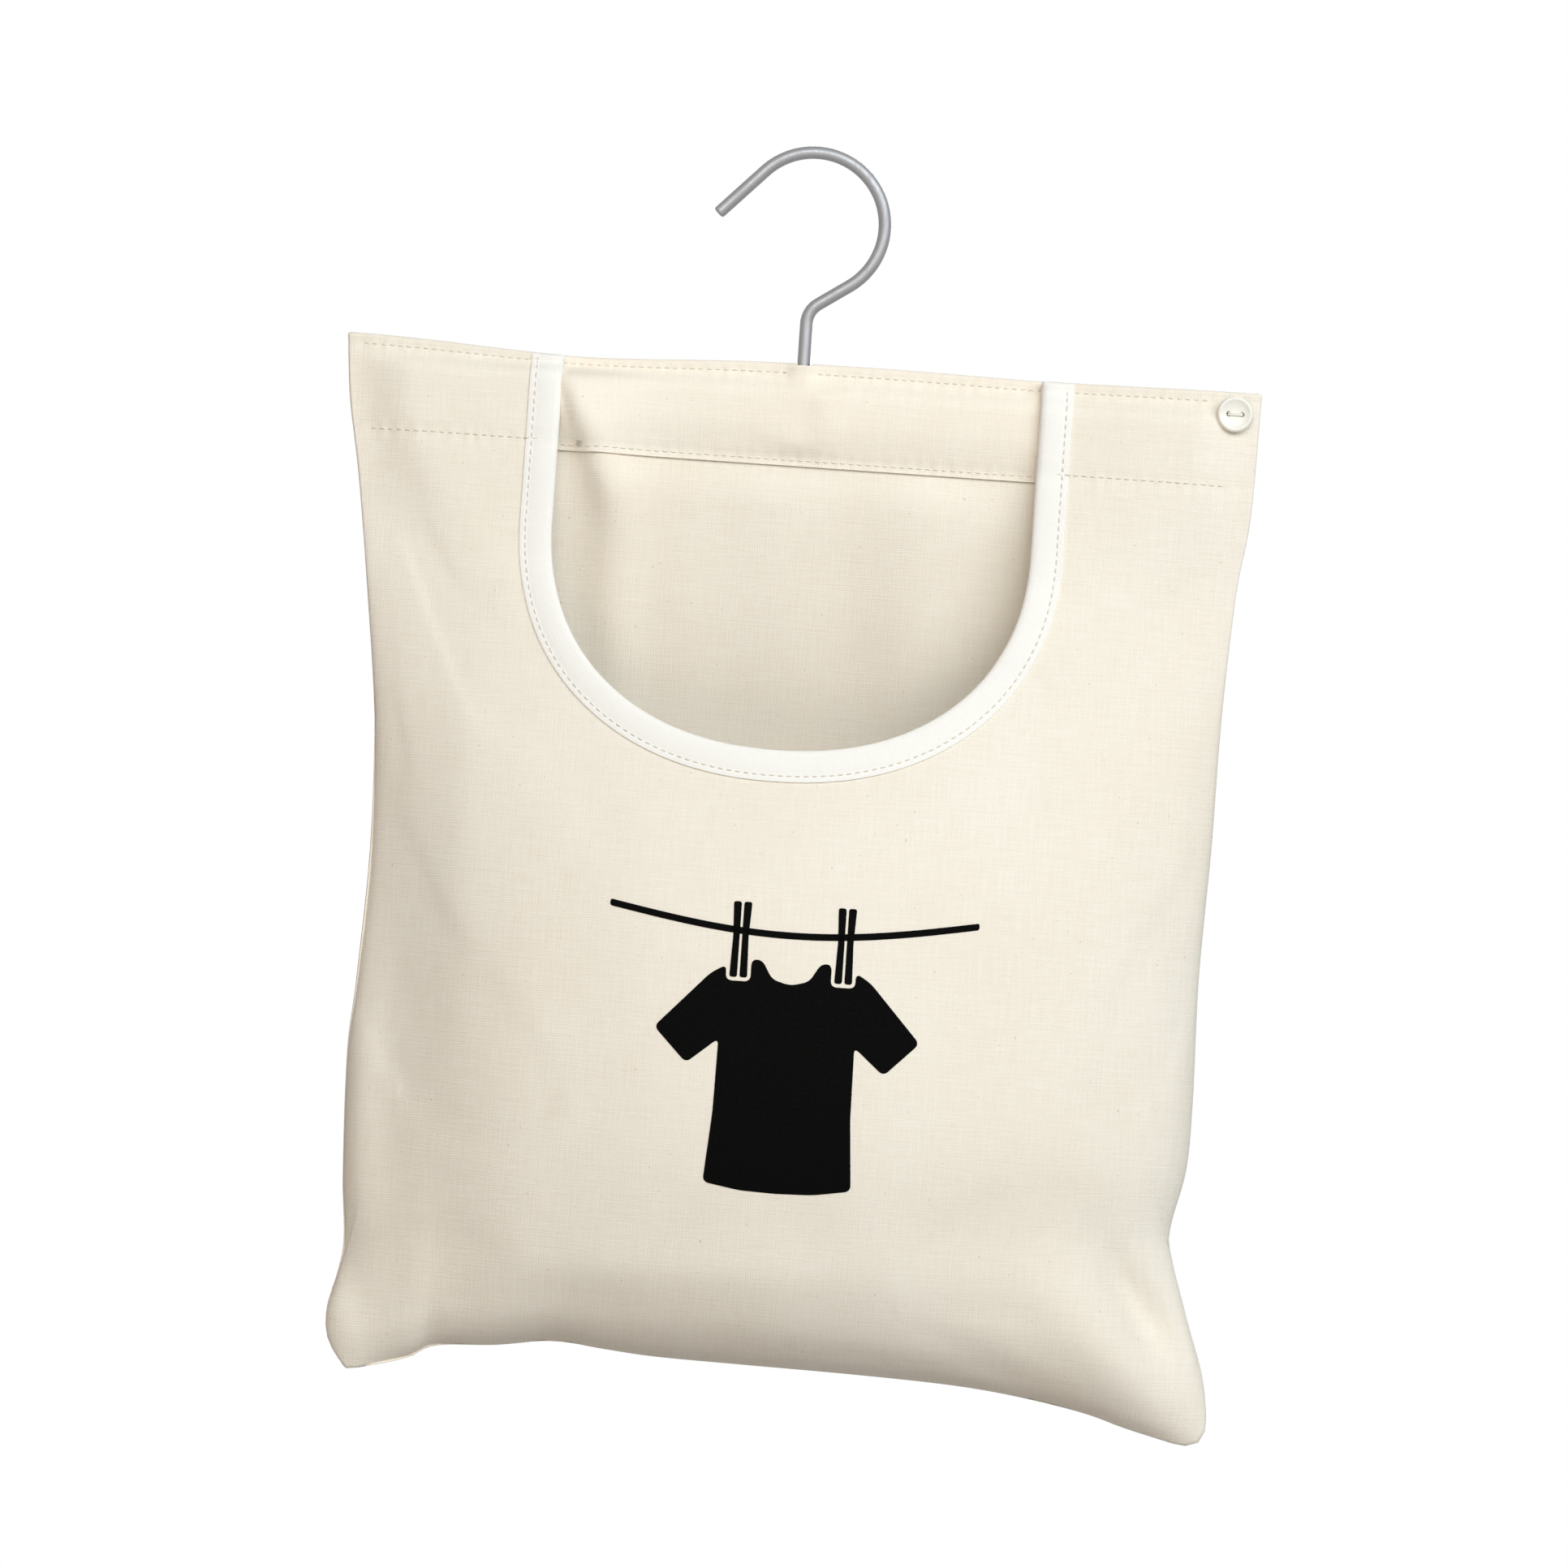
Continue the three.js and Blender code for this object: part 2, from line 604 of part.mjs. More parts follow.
// Colours and finishes
const canvas = new THREE.MeshStandardMaterial({ color: 0xe9e0cf, roughness: 0.95, metalness: 0 });
const tape = new THREE.MeshStandardMaterial({ color: 0xf6f3e8, roughness: 0.9, metalness: 0 });
const cotton = new THREE.MeshStandardMaterial({ color: 0xdcd3c2, roughness: 0.9, metalness: 0 });
const wood = new THREE.MeshStandardMaterial({ color: 0xc8a878, roughness: 0.7, metalness: 0 });
const steel = new THREE.MeshStandardMaterial({ color: 0xc4c4c6, roughness: 0.28, metalness: 1 });
const plastic = new THREE.MeshStandardMaterial({ color: 0xeeeadd, roughness: 0.4, metalness: 0 });

const bag = new THREE.Group();
const piece = (name, geometry, material) => {
  const mesh = new THREE.Mesh(geometry, material);
  mesh.name = name;
  bag.add(mesh);
};
piece("hook_wire", hookWire, steel);
piece("hook_washer", washer, steel);
piece("hanger_bar", hangerBar, wood);
piece("back_panel", backPanel, canvas);
piece("front_panel", frontPanel, canvas);
piece("mouth_binding", mouthBinding, tape);
piece("corner_button", button, plastic);
piece("button_thread", buttonThread, cotton);
piece("binding_thread", bindingThread, cotton);
piece("ridge_thread_left", leftRidgeThread, cotton);
piece("ridge_thread_right", rightRidgeThread, cotton);
piece("ridge_thread_back_left", leftBackThread, cotton);
piece("ridge_thread_back_right", rightBackThread, cotton);
piece("hem_thread_left", leftHemThread, cotton);
piece("hem_thread_right", rightHemThread, cotton);
piece("casing_thread", casingThread, cotton);
bag.position.z = -edgeToSeat;

const part = new THREE.Group();
part.add(bag);
export default part;
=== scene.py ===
# The looks of a canvas peg bag on a wire hook. Metres, +Z up, seen from -Y.
# The origin is the inside of the hook's top. "Drop" is the distance below the bag's top edge.

import math

import bmesh
import bpy
import numpy as np
from mathutils import Matrix, Vector
from mathutils.bvhtree import BVHTree


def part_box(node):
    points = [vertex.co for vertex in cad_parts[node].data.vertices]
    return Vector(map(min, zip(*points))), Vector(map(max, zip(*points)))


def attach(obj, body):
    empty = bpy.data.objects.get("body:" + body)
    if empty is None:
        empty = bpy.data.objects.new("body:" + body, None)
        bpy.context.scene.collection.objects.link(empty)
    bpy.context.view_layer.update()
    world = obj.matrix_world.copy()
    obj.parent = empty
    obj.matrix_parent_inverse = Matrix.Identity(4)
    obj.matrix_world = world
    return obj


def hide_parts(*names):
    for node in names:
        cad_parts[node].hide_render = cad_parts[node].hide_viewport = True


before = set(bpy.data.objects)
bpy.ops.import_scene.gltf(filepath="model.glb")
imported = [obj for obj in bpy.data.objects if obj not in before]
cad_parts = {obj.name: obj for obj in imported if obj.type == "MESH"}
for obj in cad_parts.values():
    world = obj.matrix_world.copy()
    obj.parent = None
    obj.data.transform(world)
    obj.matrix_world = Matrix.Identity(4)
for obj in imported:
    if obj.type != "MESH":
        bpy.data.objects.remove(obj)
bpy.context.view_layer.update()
scene = bpy.context.scene

MM = 0.001
TINY = 1e-12

# Keeps a vector's parts across and up, and drops the one along y
LEVEL = np.array([1, 0, 1])

# The bag's outline: pairs of the drop and the place across, and for the bottom the other way round
LEFT_EDGE = MM * np.array([
    (0, -150), (21, -148), (43, -144), (64, -141), (86, -138), (107, -135.2), (129, -132.8),
    (171, -131.4), (214, -133), (236, -134.4), (279, -133), (300, -131.2), (311, -132.8),
    (322, -135.3), (332, -134.2), (341.5, -128),
])
RIGHT_EDGE = MM * np.array([
    (0, 151), (43, 150), (64, 147.5), (107, 145.4), (150, 145), (193, 143.8), (236, 144.6),
    (257, 144), (279, 139.8), (289, 142), (300, 145.6), (311, 149.3), (322, 153.2), (333, 155.6),
    (349.5, 157),
])
BOTTOM_EDGE = MM * np.array([
    (-128, 341.5), (-118, 339), (-107, 335.6), (-100.8, 331.8), (-80, 330), (-60.7, 327.4),
    (-45, 328.6), (-28, 330), (0, 330.7), (43, 331.6), (75, 333), (96, 335.5), (118, 339.5),
    (129, 342.7), (140, 345.4), (157, 349.5),
])
LEFT_CORNER = 1.5 * MM
RIGHT_CORNER = 11 * MM

# How far the panels swell, and where between the casing and the bottom edge
FRONT_BULGE = 42 * MM
BACK_BULGE = 35 * MM
BULGE_SHARES = [
    (0, 0), (0.05, 0.05), (0.11, 0.16), (0.22, 0.4), (0.33, 0.64), (0.44, 0.82), (0.555, 0.94),
    (0.667, 1), (0.754, 0.975), (0.832, 0.87), (0.9, 0.735), (0.956, 0.5), (0.987, 0.24), (1, 0),
]
CROSS_POWER = 0.62

# The cloth and its hems
CLOTH = 0.7 * MM
PLY_STEP = 1.15 * MM
PANEL_GAP = 1.4 * MM
RIDGE = 4 * MM
RIDGE_STITCH = 3 * MM
CASING_STITCH = 32 * MM
HEM_STITCH = 31 * MM
HEM_EDGE = 2 * MM
GROOVE_DEPTH = 0.3 * MM
GROOVE_HALF = 1.2 * MM
SEAM_CLOSING = 38 * MM
SEAM_FORWARD = 1.7 * MM
SEAT_GAP = 0.3 * MM
RAMP_SLOPE = 0.6
SHOULDER_FADE_SHARE = 0.33
EASE_SHARE = 0.35
SEAM_REACH_SHARE = 0.99
FLAT_HALF = 150 * MM

# The dips in the top edge: the middle, the width and the depth, and the drop at which they have faded out
TOP_DIPS = MM * np.array([(-75, 45, 3.2), (85, 35, 0.8)])
TOP_DIP_DROP = 9 * MM

# The side and bottom seams: how the cloth turns in at the outline, and the allowance inside the bag
TURN_RADIUS = 0.42 * MM
TURN_REACH_SHARE = 0.3
TURN_STEPS = 3
SEAM_SHOULDER = 1.75 * MM
SEAM_CASING = 1.0 * MM
ALLOWANCE_FROM = 1 * MM
ALLOWANCE_TO = 7.5 * MM
ALLOWANCE_TAPER = 14 * MM
ALLOWANCE_LEAST_SHARE = 0.15
ALLOWANCE_COLUMNS = 4
ALLOWANCE_ROWS = 150
TUCK_INSET = 1.2 * MM
TUCK_STEP = 0.25 * MM

# The mouth and its binding
MOUTH_HALF = 80 * MM
MOUTH_DEPTH = 129 * MM
MOUTH_STRAIGHT = 58 * MM
MOUTH_POWER = 2.2
CORNER_TURN = math.radians(36)
BINDING_WIDTH = 9.5 * MM
TAPE = 0.5 * MM
TAPE_STITCH_INSET = 2 * MM
INSET_SHARES = (0, 0.33, 0.67, 1)

# The hook
WIRE = 4.2 * MM
LOOP_RADIUS = 23.7 * MM
LOOP_RISE = 46.3 * MM
NECK_HEIGHT = 17.7 * MM
NECK_RADIUS = 8 * MM
TAIL_LENGTH = 20.9 * MM
TAIL_ANGLE = math.radians(135.9)
NECK_ANGLE = math.radians(-56)
HEAD_DIAMETER = 5.6 * MM
HEAD_HEIGHT = 2 * MM
HEAD_SHARES = (1.25, 1, 0.85, 0.15, 0)
HEAD_EDGE = 0.3 * MM
WIRE_PARTING = 7.5 * MM
SLIT_HALF = 2.35 * MM
BAR_CORNER = 1.8 * MM
HEAD_REACH = 9 * MM

# How finely the outline and the cloth are drawn
OUTLINE_STEP = 0.5 * MM
CORNER_STEPS = 13
SHOULDER_DROPS = MM * np.array([
    0.6, 1.6, 3, 4.4, 6, 8, 10, 12.5, 15.5, 19, 22.5, 26, 29, 31, 33, 36, 40, 45, 51, 58,
])
CASING_DROPS = MM * np.array([0.6, 1.6, 3, 4.4, 6, 8, 10, 12.5, 15.5, 19, 22.5, 26, 28, 30, 32, 34])
FOLD_TURN_SHARES = (0.2, 0.4, 0.6, 0.8)
SIDE_ROWS = 72
BOTTOM_ROWS = 38
SPAN_COLUMNS = 50
EDGE_CROWDING = 1.4
BACK_ROWS = 84
BACK_HALF_COLUMNS = 38
WIRE_COLUMNS = MM * np.array([0, 1.2, 2.35, 4.2, 7])

# Small folds: place across, drop, direction in degrees, half length, half width and height towards the
# viewer, in millimetres
FRONT_FOLDS = [
    (120, 317, 43, 30, 11, 2.6), (93, 330, 27, 34, 6, -1.2), (131, 303, 57, 22, 6, -7.5),
    (-101, 185, 87, 75, 10, 1.0), (-110, 235, 86, 90, 21, -5.0), (-122, 232, 86, 84, 10, -2.2),
    (-58.5, 327, 0, 9, 3.5, -1.5), (-101, 326, 80, 9, 5, -1.1),
    (-127, 312, 75, 24, 7, -1.4), (-104, 315, 75, 24, 9, 1.1),
    (-60, 210, 84, 60, 18, -0.9), (20, 290, 80, 22, 10, -0.7), (48, 292, 84, 20, 9, 0.6),
    (-20, 300, -2, 60, 7, 0.7), (110, 150, 80, 60, 14, 0.8),
]
FACING_FOLDS = [
    (9, 17, 88, 13, 5, 1.0), (-72.5, 20, 67, 26, 5, 6.2), (-62, 26, 80, 30, 9, 2.6),
]
BACK_FOLDS = [
    (-58, 74, 86, 48, 9, 4.2), (-38, 85, 86, 50, 17, 2.6), (42, 80, 94, 50, 18, 4.5),
    (-4, 85, 91, 46, 24, 4.0),
]
FOLD_FADE = 8 * MM

# How the cloth settles
SETTLE_FRAMES = 24
SETTLE_GRAVITY = 0.15
PUSH = 1.0
CLOTH_SETTINGS = {
    "quality": 6, "mass": 0.15, "tension_stiffness": 25, "compression_stiffness": 25,
    "shear_stiffness": 12, "bending_stiffness": 40, "tension_damping": 15, "compression_damping": 15,
    "shear_damping": 15, "bending_damping": 2, "air_damping": 3, "vertex_group_mass": "pins",
    "pin_stiffness": 1, "shrink_min": -0.008, "use_pressure": True,
}
MOST_MOVE = 0.3 * MM
BLUR_ROUNDS = 70
SOFTEN_ROUNDS = 14
HELD_DROP = 40 * MM
SEAM_HOLD = 18 * MM

# How offsets stay parallel at creases, where shading stays sharp, and the UV map's name
MOST_MITRE = 1.5
LEAST_TURN = 1e-3
SHARP_ANGLE = math.radians(65)
FLAT_MAP = "flat"

# The tape's section in millimetres, from its front edge round the mouth's edge to its back one: the reach
# from the mouth's edge, the height on the cloth, and the share of a doubled cloth's thickness
TAPE_PROFILE = [
    (9.4, 0.62, 0), (8.7, 0.78, 0), (7.9, 0.74, 0), (7.3, 0.7, 0), (6.5, 0.88, 0), (5, 1.1, 0),
    (3, 1.18, 0), (1.2, 1.12, 0), (-0.1, 0.95, 0.05), (-0.7, 0.5, 0.3), (-0.9, 0, 0.5),
    (-0.7, -0.5, 0.7), (-0.1, -0.95, 0.95), (1.2, -1.1, 1), (3, -1.1, 1), (5, -1, 1), (7.3, -0.7, 1),
    (8.7, -0.75, 1), (9.4, -0.62, 1),
]
TAPE_END_RISE = 0.5 * MM
TAPE_END_SHARES = ((0.45, 1), (0.85, 1.4))

# The stitches
THREAD = 0.5 * MM
STITCH = 2.2 * MM
STITCH_PITCH = 2.8 * MM
STITCH_RINGS = 7
STITCH_SIDES = 8
STITCH_RISE_SHARE = 0.35
STITCH_SINK_SHARE = 0.75
STITCH_TAPER_SHARE = 0.75
TAPE_LIFT = 0.6 * MM
TACK_INSET = 1 * MM
HEM_THREAD_END = 143 * MM
RIDGE_THREAD_ENDS = {"left": 146 * MM, "right": 136 * MM}
KNOT_PLACES = MM * np.array([(-71.8, 30.2), (-71.6, 30.9), (-71.9, 31.5)])
KNOT_RISE_SHARE = 0.4

# How finely the hook is drawn, and the button
LOOP_STEPS = 90
TAIL_STEPS = 14
NECK_STEPS = 18
TIP_STEPS = 6
TIP_ROUND = 0.9 * MM
TIP_CLEAR = 1.35 * MM
WIRE_SIDES = 28
BUTTON_SIDES = 64
HOLE_SIDES = 20
BUTTON_HOLE = 1.7 * MM
BUTTON_SPACING = 4.4 * MM
BUTTON_THREAD = 0.6 * MM
BUTTON_THREAD_STEPS = 11
BUTTON_SHANK = 1.9 * MM
BUTTON_ARCH_SHARES = (0.1, 0.32)
BESIDE_SHARE = 0.45
BUTTON_PROFILE = [
    (0.02, 0), (0.7, 0), (0.9, 0.1), (0.98, 0.3), (1, 0.55), (0.98, 0.78), (0.93, 0.94), (0.87, 1),
    (0.8, 0.98), (0.73, 0.88), (0.62, 0.74), (0.4, 0.66), (0.02, 0.64),
]

# The print: where it lies, and in millimetres from its middle, x to the right and y down, half of the
# shirt, a leg of a peg and the slack line
PRINT_MIDDLE = MM * np.array([9.6, 226])
PRINT_HALF = 66 * MM
PRINT_CELL = 1.5 * MM
INK_STAND = 0.16 * MM
SHIRT_HALF = [
    (6, -23.6), (9.5, -29.6), (13, -29.6), (13, -22.4), (21, -22.4), (21, -27.4), (26, -24.4),
    (43, -6), (32, 5), (22, -3.5), (22.3, 20), (24, 43), (12, 45),
]
SHIRT_TOP = (0, -22)
SHIRT_BOTTOM = (0, 45.4)
SHIRT_ROUND = 2.2
PEG_LEG = [(0.4, -48), (3, -48), (2.5, -37), (2.9, -23.6), (0.4, -23.6)]
PEG_PLACE = 17
LINE_HALF = 60
LINE_STEPS = 41
LINE_SAG = 7
LINE_END = -45
LINE_THICK = 2.2
PRINT_ROUND = 0.9
MOST_CUT_SHARE = 0.48

# Floor, light and camera
FLOOR_Z = -1.2
FLOOR_HALF = 4.0
FLOOR_CELLS = 8
FLOOR_COLOUR = (0.46, 0.45, 0.44)
FLOOR_GLOW = 0.7
FLOOR_FADE = (1.6, 3.4)
AMBIENT = 0.17
AMBIENT_COLOUR = (1, 0.88, 0.8)
LAMP_AIM = (0, 0, -0.25)
LAMPS = [
    ("key", (0.85, -1.9, 0.87), (3.2, 1.3), 58, (0.927, 1.0, 1.055)),
    ("fill", (-1.0, -2.0, 0.6), (1.6, 1.6), 7.5, (1, 0.79, 0.6)),
    ("low", (-0.2, -1.8, -1.0), (1.4, 0.8), 3.2, (1, 0.84, 0.72)),
    ("back", (0.4, 1.8, 0.6), (1.2, 1.2), 20, (1, 0.99, 0.97)),
]
VIEW_DISTANCE = 2.0
VIEW_HALF = 0.2591
VIEW_X = 3.1 * MM
VIEW_DROP = 138.9 * MM
VIEW_ROLL = math.radians(3.95)

# Weave and colours
WEAVE_PITCH = 0.75 * MM
TAPE_PITCH = 0.5 * MM
PUCKER_REACH = 5 * MM
PUCKER_PITCH = 5.6 * MM
PUCKER_SHARE = 1.3
PUCKER_SCALE = (60, 20, 1)
PUCKER_DRIFT = 9.0
WANDER_SCALE = 90.0
WANDER = 0.5 * MM
CANVAS_COLOURS = ((0.925, 0.873, 0.762), (0.872, 0.79, 0.66), (0.42, 0.33, 0.22))
# The back panel's canvas: lighter and more tan than the front's, as painted light and painted warm shade for
# the inside seen through the mouth
BACK_PAINTED_LIGHT_COLOURS = ((0.962, 0.9, 0.78), (0.918, 0.825, 0.685), (0.45, 0.36, 0.25))
TAPE_COLOURS = ((0.955, 0.94, 0.885), (0.935, 0.915, 0.855), (0.6, 0.55, 0.45))
THREAD_COLOURS = ((0.86, 0.81, 0.71), (0.7, 0.63, 0.53))
BUTTON_THREAD_COLOURS = ((0.93, 0.91, 0.86), (0.89, 0.87, 0.8))
STEEL_COLOURS = ((0.31, 0.31, 0.315), (0.2542, 0.2542, 0.2583))
WOOD_COLOURS = ((0.66, 0.47, 0.28), (0.48, 0.31, 0.17))
BUTTON_COLOURS = ((0.88, 0.86, 0.78), (0.8, 0.77, 0.68))
INK_COLOURS = ((0.001, 0.0009, 0.0009), (0.003, 0.0027, 0.0025))
WEAVE_SHADE = 0.965
WEAVE_SHARE = 0.6
FLECK_SHARE = 0.5
CLOUD_TONES = (0, 0.6)
YARN_TONES = (-0.25, 0.45)

# The shaders' plain values, and the ends of the roughness where noise drives it
CLOTH_SHADER = {"Roughness": 0.92, "Sheen Weight": 0.2, "Sheen Roughness": 0.5, "Specular IOR Level": 0.2}
THREAD_SHADER = {"Roughness": 0.8, "Sheen Weight": 0.3, "Specular IOR Level": 0.3}
STEEL_SHADER = {"Roughness": 0.5, "Metallic": 1}
WOOD_SHADER = {"Roughness": 0.7, "Specular IOR Level": 0.3}
BUTTON_SHADER = {"Roughness": 0.35, "Coat Weight": 0.25, "Coat Roughness": 0.2}
INK_SHADER = {"Roughness": 0.8, "Specular IOR Level": 0.04}
FLOOR_SHADER = {"Roughness": 0.9, "Emission Color": (1, 1, 1, 1)}
CLOTH_ROUGH = (0.86, 0.98)
STEEL_ROUGH = (0.42, 0.56)
BUTTON_ROUGH = (0.3, 0.45)
INK_ROUGH = (0.65, 0.85)
FLOOR_ROUGH = (0.85, 0.95)

# The noise in the finishes: how it is spread, and how many times it repeats in a metre along each axis
NOISE_SPAN = (0.3, 0.7)
YARN_SPAN = (0.7, 1.3)
YARN_ROUGH_SPAN = (0.6, 1.4)
WOOD_SPAN = (0.7, 1.3)
FLECK_SPAN = (0.74, 0.8)
YARN_SCALES = ((70, 1500, 1), (1500, 70, 1))
CLOUD_SCALE = (16, 12, 1)
FLECK_SCALE = (900, 650, 1)
INK_SCALE = (900, 900, 1)
TWIST_SCALE = 900.0
WIRE_STREAKS = (700, 700, 90)
WASHER_STREAKS = (400, 400, 60)
PATCH_SCALE = (60, 60, 60)
GRAIN_SCALE = (9, 500, 420)
GRAIN_ROUGH_SHARE = 0.6
RINGS_SCALE = (5, 120, 90)
HAZE_SCALE = (260, 260, 260)
FLOOR_SCALE = (30, 30, 30)

# How strong and how high the finishes' bumps are
CANVAS_BUMP = (0.35, 0.25 * MM)
TAPE_BUMP = (0.25, 0.25 * MM)
THREAD_BUMP = (0.4, 0.1 * MM)
STEEL_BUMP = (0.06, 0.05 * MM)
WOOD_BUMP = (0.3, 0.1 * MM)
INK_BUMP = (0.4, 0.2 * MM)

bar_low, bar_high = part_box("hanger_bar")
wire_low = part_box("hook_wire")[0]
top_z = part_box("back_panel")[1].z
half_ply = PLY_STEP / 2
half_cloth = CLOTH / 2
bar_swell = bar_high.y + SEAT_GAP + half_cloth - half_ply
ramp_length = bar_swell / RAMP_SLOPE
bar_bottom = top_z - bar_low.z
head_top = top_z - wire_low.z - HEAD_HEIGHT
hem_depth = HEM_STITCH + HEM_EDGE
casing_depth = CASING_STITCH + HEM_EDGE
outer_ply = half_ply + CLOTH + PANEL_GAP + PLY_STEP
bowl_depth = MOUTH_DEPTH - MOUTH_STRAIGHT
rim_depth = 2 * TURN_RADIUS + half_cloth


def mix(a, b, t):
    return a + (b - a) * t


def smooth(t):
    """A soft step from 0 to 1."""
    t = np.clip(t, 0, 1)
    return t * t * (3 - 2 * t)


def eased(t):
    """A step from 0 to 1 that is nearly straight."""
    return mix(np.clip(t, 0, 1), smooth(t), EASE_SHARE)


def unit(vectors):
    """Vectors with their lengths brought to one."""
    return vectors / np.maximum(np.linalg.norm(vectors, axis=-1, keepdims=True), TINY)


def between(at, known, values):
    """Each column of values at a place between the known places."""
    return np.stack([np.interp(at, known, column) for column in np.asarray(values).T], -1)


def run_lengths(points):
    """How far along a line each of its points lies."""
    return np.concatenate([[0], np.cumsum(np.linalg.norm(np.diff(points, axis=0), axis=-1))])


def placed(name, data):
    """A new object in the scene."""
    made = bpy.data.objects.new(name, data)
    scene.collection.objects.link(made)
    return made


def squares(rows, columns):
    """The corners of a grid's squares, as vertex numbers."""
    index = np.arange(rows * columns).reshape(rows, columns)
    return np.stack([index[:-1, :-1], index[1:, :-1], index[1:, 1:], index[:-1, 1:]], -1)


def through(table, at):
    """A smooth curve through a table of pairs."""
    x, y = np.array(table, float).T
    number = np.arange(len(x))
    before = np.maximum(number - 1, 0)
    after = np.minimum(number + 1, len(x) - 1)
    slope = (y[after] - y[before]) / (x[after] - x[before])
    at = np.clip(at, x[0], x[-1])
    i = np.clip(np.searchsorted(x, at, side="right") - 1, 0, len(x) - 2)
    width = x[i + 1] - x[i]
    u = (at - x[i]) / width
    rise = smooth(u)
    bend = width * (slope[i] * u * (1 - u) ** 2 - slope[i + 1] * u**2 * (1 - u))
    return mix(y[i], y[i + 1], rise) + bend


# Places on the flat outline

def side_at(x, drop):
    """Where a place lies from the left side (-1) to the right side (1)."""
    left = through(LEFT_EDGE, drop)
    right = through(RIGHT_EDGE, drop)
    return np.clip(2 * (x - left) / (right - left) - 1, -1, 1)


def rounded(corner_from, corner, corner_to):
    """A soft corner: a curve from one point to another that is drawn towards the corner."""
    t = np.linspace(0, 1, CORNER_STEPS)[:, None]
    return (1 - t) ** 2 * corner_from + 2 * t * (1 - t) * corner + t**2 * corner_to


def outline():
    """Points down the left side, along the bottom and up the right side, and where the corners are."""
    left_drops = np.arange(0, LEFT_EDGE[-1, 0], OUTLINE_STEP)
    right_drops = np.arange(0, RIGHT_EDGE[-1, 0], OUTLINE_STEP)[::-1]
    across = np.arange(BOTTOM_EDGE[0, 0] + OUTLINE_STEP, BOTTOM_EDGE[-1, 0], OUTLINE_STEP)
    left = np.stack([through(LEFT_EDGE, left_drops), left_drops], 1)
    right = np.stack([through(RIGHT_EDGE, right_drops), right_drops], 1)
    bottom = np.stack([across, through(BOTTOM_EDGE, across)], 1)
    cut_left = int(LEFT_CORNER / OUTLINE_STEP)
    cut_right = int(RIGHT_CORNER / OUTLINE_STEP)
    left_bend = rounded(left[-cut_left], LEFT_EDGE[-1, ::-1], bottom[cut_left])
    right_bend = rounded(bottom[-cut_right], RIGHT_EDGE[-1, ::-1], right[cut_right])
    runs = [left[:-cut_left], left_bend, bottom[cut_left + 1:-cut_right], right_bend, right[cut_right + 1:]]
    points = np.concatenate(runs)
    ends = np.cumsum([len(run) for run in runs])
    lengths = run_lengths(points)
    left_at = lengths[(ends[0] + ends[1]) // 2]
    right_at = lengths[(ends[2] + ends[3]) // 2]
    return points, lengths, left_at, right_at


rim_points, rim_lengths, left_corner_at, right_corner_at = outline()
bottom_middle = (0, RIGHT_EDGE[-1, 0])
bottom_middle_at = rim_lengths[np.argmin(np.linalg.norm(rim_points - bottom_middle, axis=1))]


def rim(at):
    """The outline's point at a distance along it."""
    return between(at, rim_lengths, rim_points)


def rim_at_drop(hand, drop):
    """How far along the outline a drop lies, on the left (-1) or the right (1) side."""
    half = len(rim_points) // 3
    if hand < 0:
        return np.interp(drop, rim_points[:half, 1], rim_lengths[:half])
    return np.interp(drop, rim_points[:-half:-1, 1], rim_lengths[:-half:-1])


def mouth_at(turn):
    """A point of the mouth's bowl on the right, and the direction away from the mouth there."""
    x = MOUTH_HALF * math.cos(turn) ** (2 / MOUTH_POWER)
    fall = math.sin(turn) ** (2 / MOUTH_POWER)
    away = np.array([
        (x / MOUTH_HALF) ** (MOUTH_POWER - 1) / MOUTH_HALF,
        fall ** (MOUTH_POWER - 1) / bowl_depth,
    ])
    return np.array([x, MOUTH_STRAIGHT + bowl_depth * fall]), unit(away)


def front_row(hand, edge, away, rim_at):
    """The flat places of one row of the front panel, from the mouth's edge to the outline."""
    flip = np.array([hand, 1])
    inset = edge * flip + np.array(INSET_SHARES)[:, None] * BINDING_WIDTH * away * flip
    spans = 1 - np.linspace(1, 0, SPAN_COLUMNS + 1)[1:, None] ** EDGE_CROWDING
    return np.concatenate([inset, mix(inset[-1], rim(rim_at), spans)])


def front_flat():
    """The flat places of the front panel's outer ply, from the left shoulder round to the right one."""
    halves = []
    for hand, corner_at in ((-1, left_corner_at), (1, right_corner_at)):
        rows = []
        for drop in SHOULDER_DROPS:
            edge = np.array([MOUTH_HALF, drop])
            rows.append(front_row(hand, edge, np.array([1, 0]), rim_at_drop(hand, drop)))
        stations = [(0, rim_at_drop(hand, MOUTH_STRAIGHT)), (CORNER_TURN, corner_at)]
        stations.append((math.pi / 2, bottom_middle_at))
        for number, steps in enumerate((SIDE_ROWS, BOTTOM_ROWS)):
            (turn_from, at_from), (turn_to, at_to) = stations[number:number + 2]
            for share in np.linspace(0, 1, steps + 1)[1:]:
                mouth_place = mouth_at(mix(turn_from, turn_to, share))
                rows.append(front_row(hand, *mouth_place, mix(at_from, at_to, share)))
        halves.append(rows)
    return np.array(halves[0] + halves[1][-2::-1])


def across_shares():
    """Where the back panel's columns stand, from the left side (0) to the right side (1)."""
    near_wire = WIRE_COLUMNS / FLAT_HALF
    half = np.concatenate([near_wire[:-1], np.linspace(near_wire[-1], 1, BACK_HALF_COLUMNS)])
    return (np.concatenate([-half[:0:-1], half]) + 1) / 2


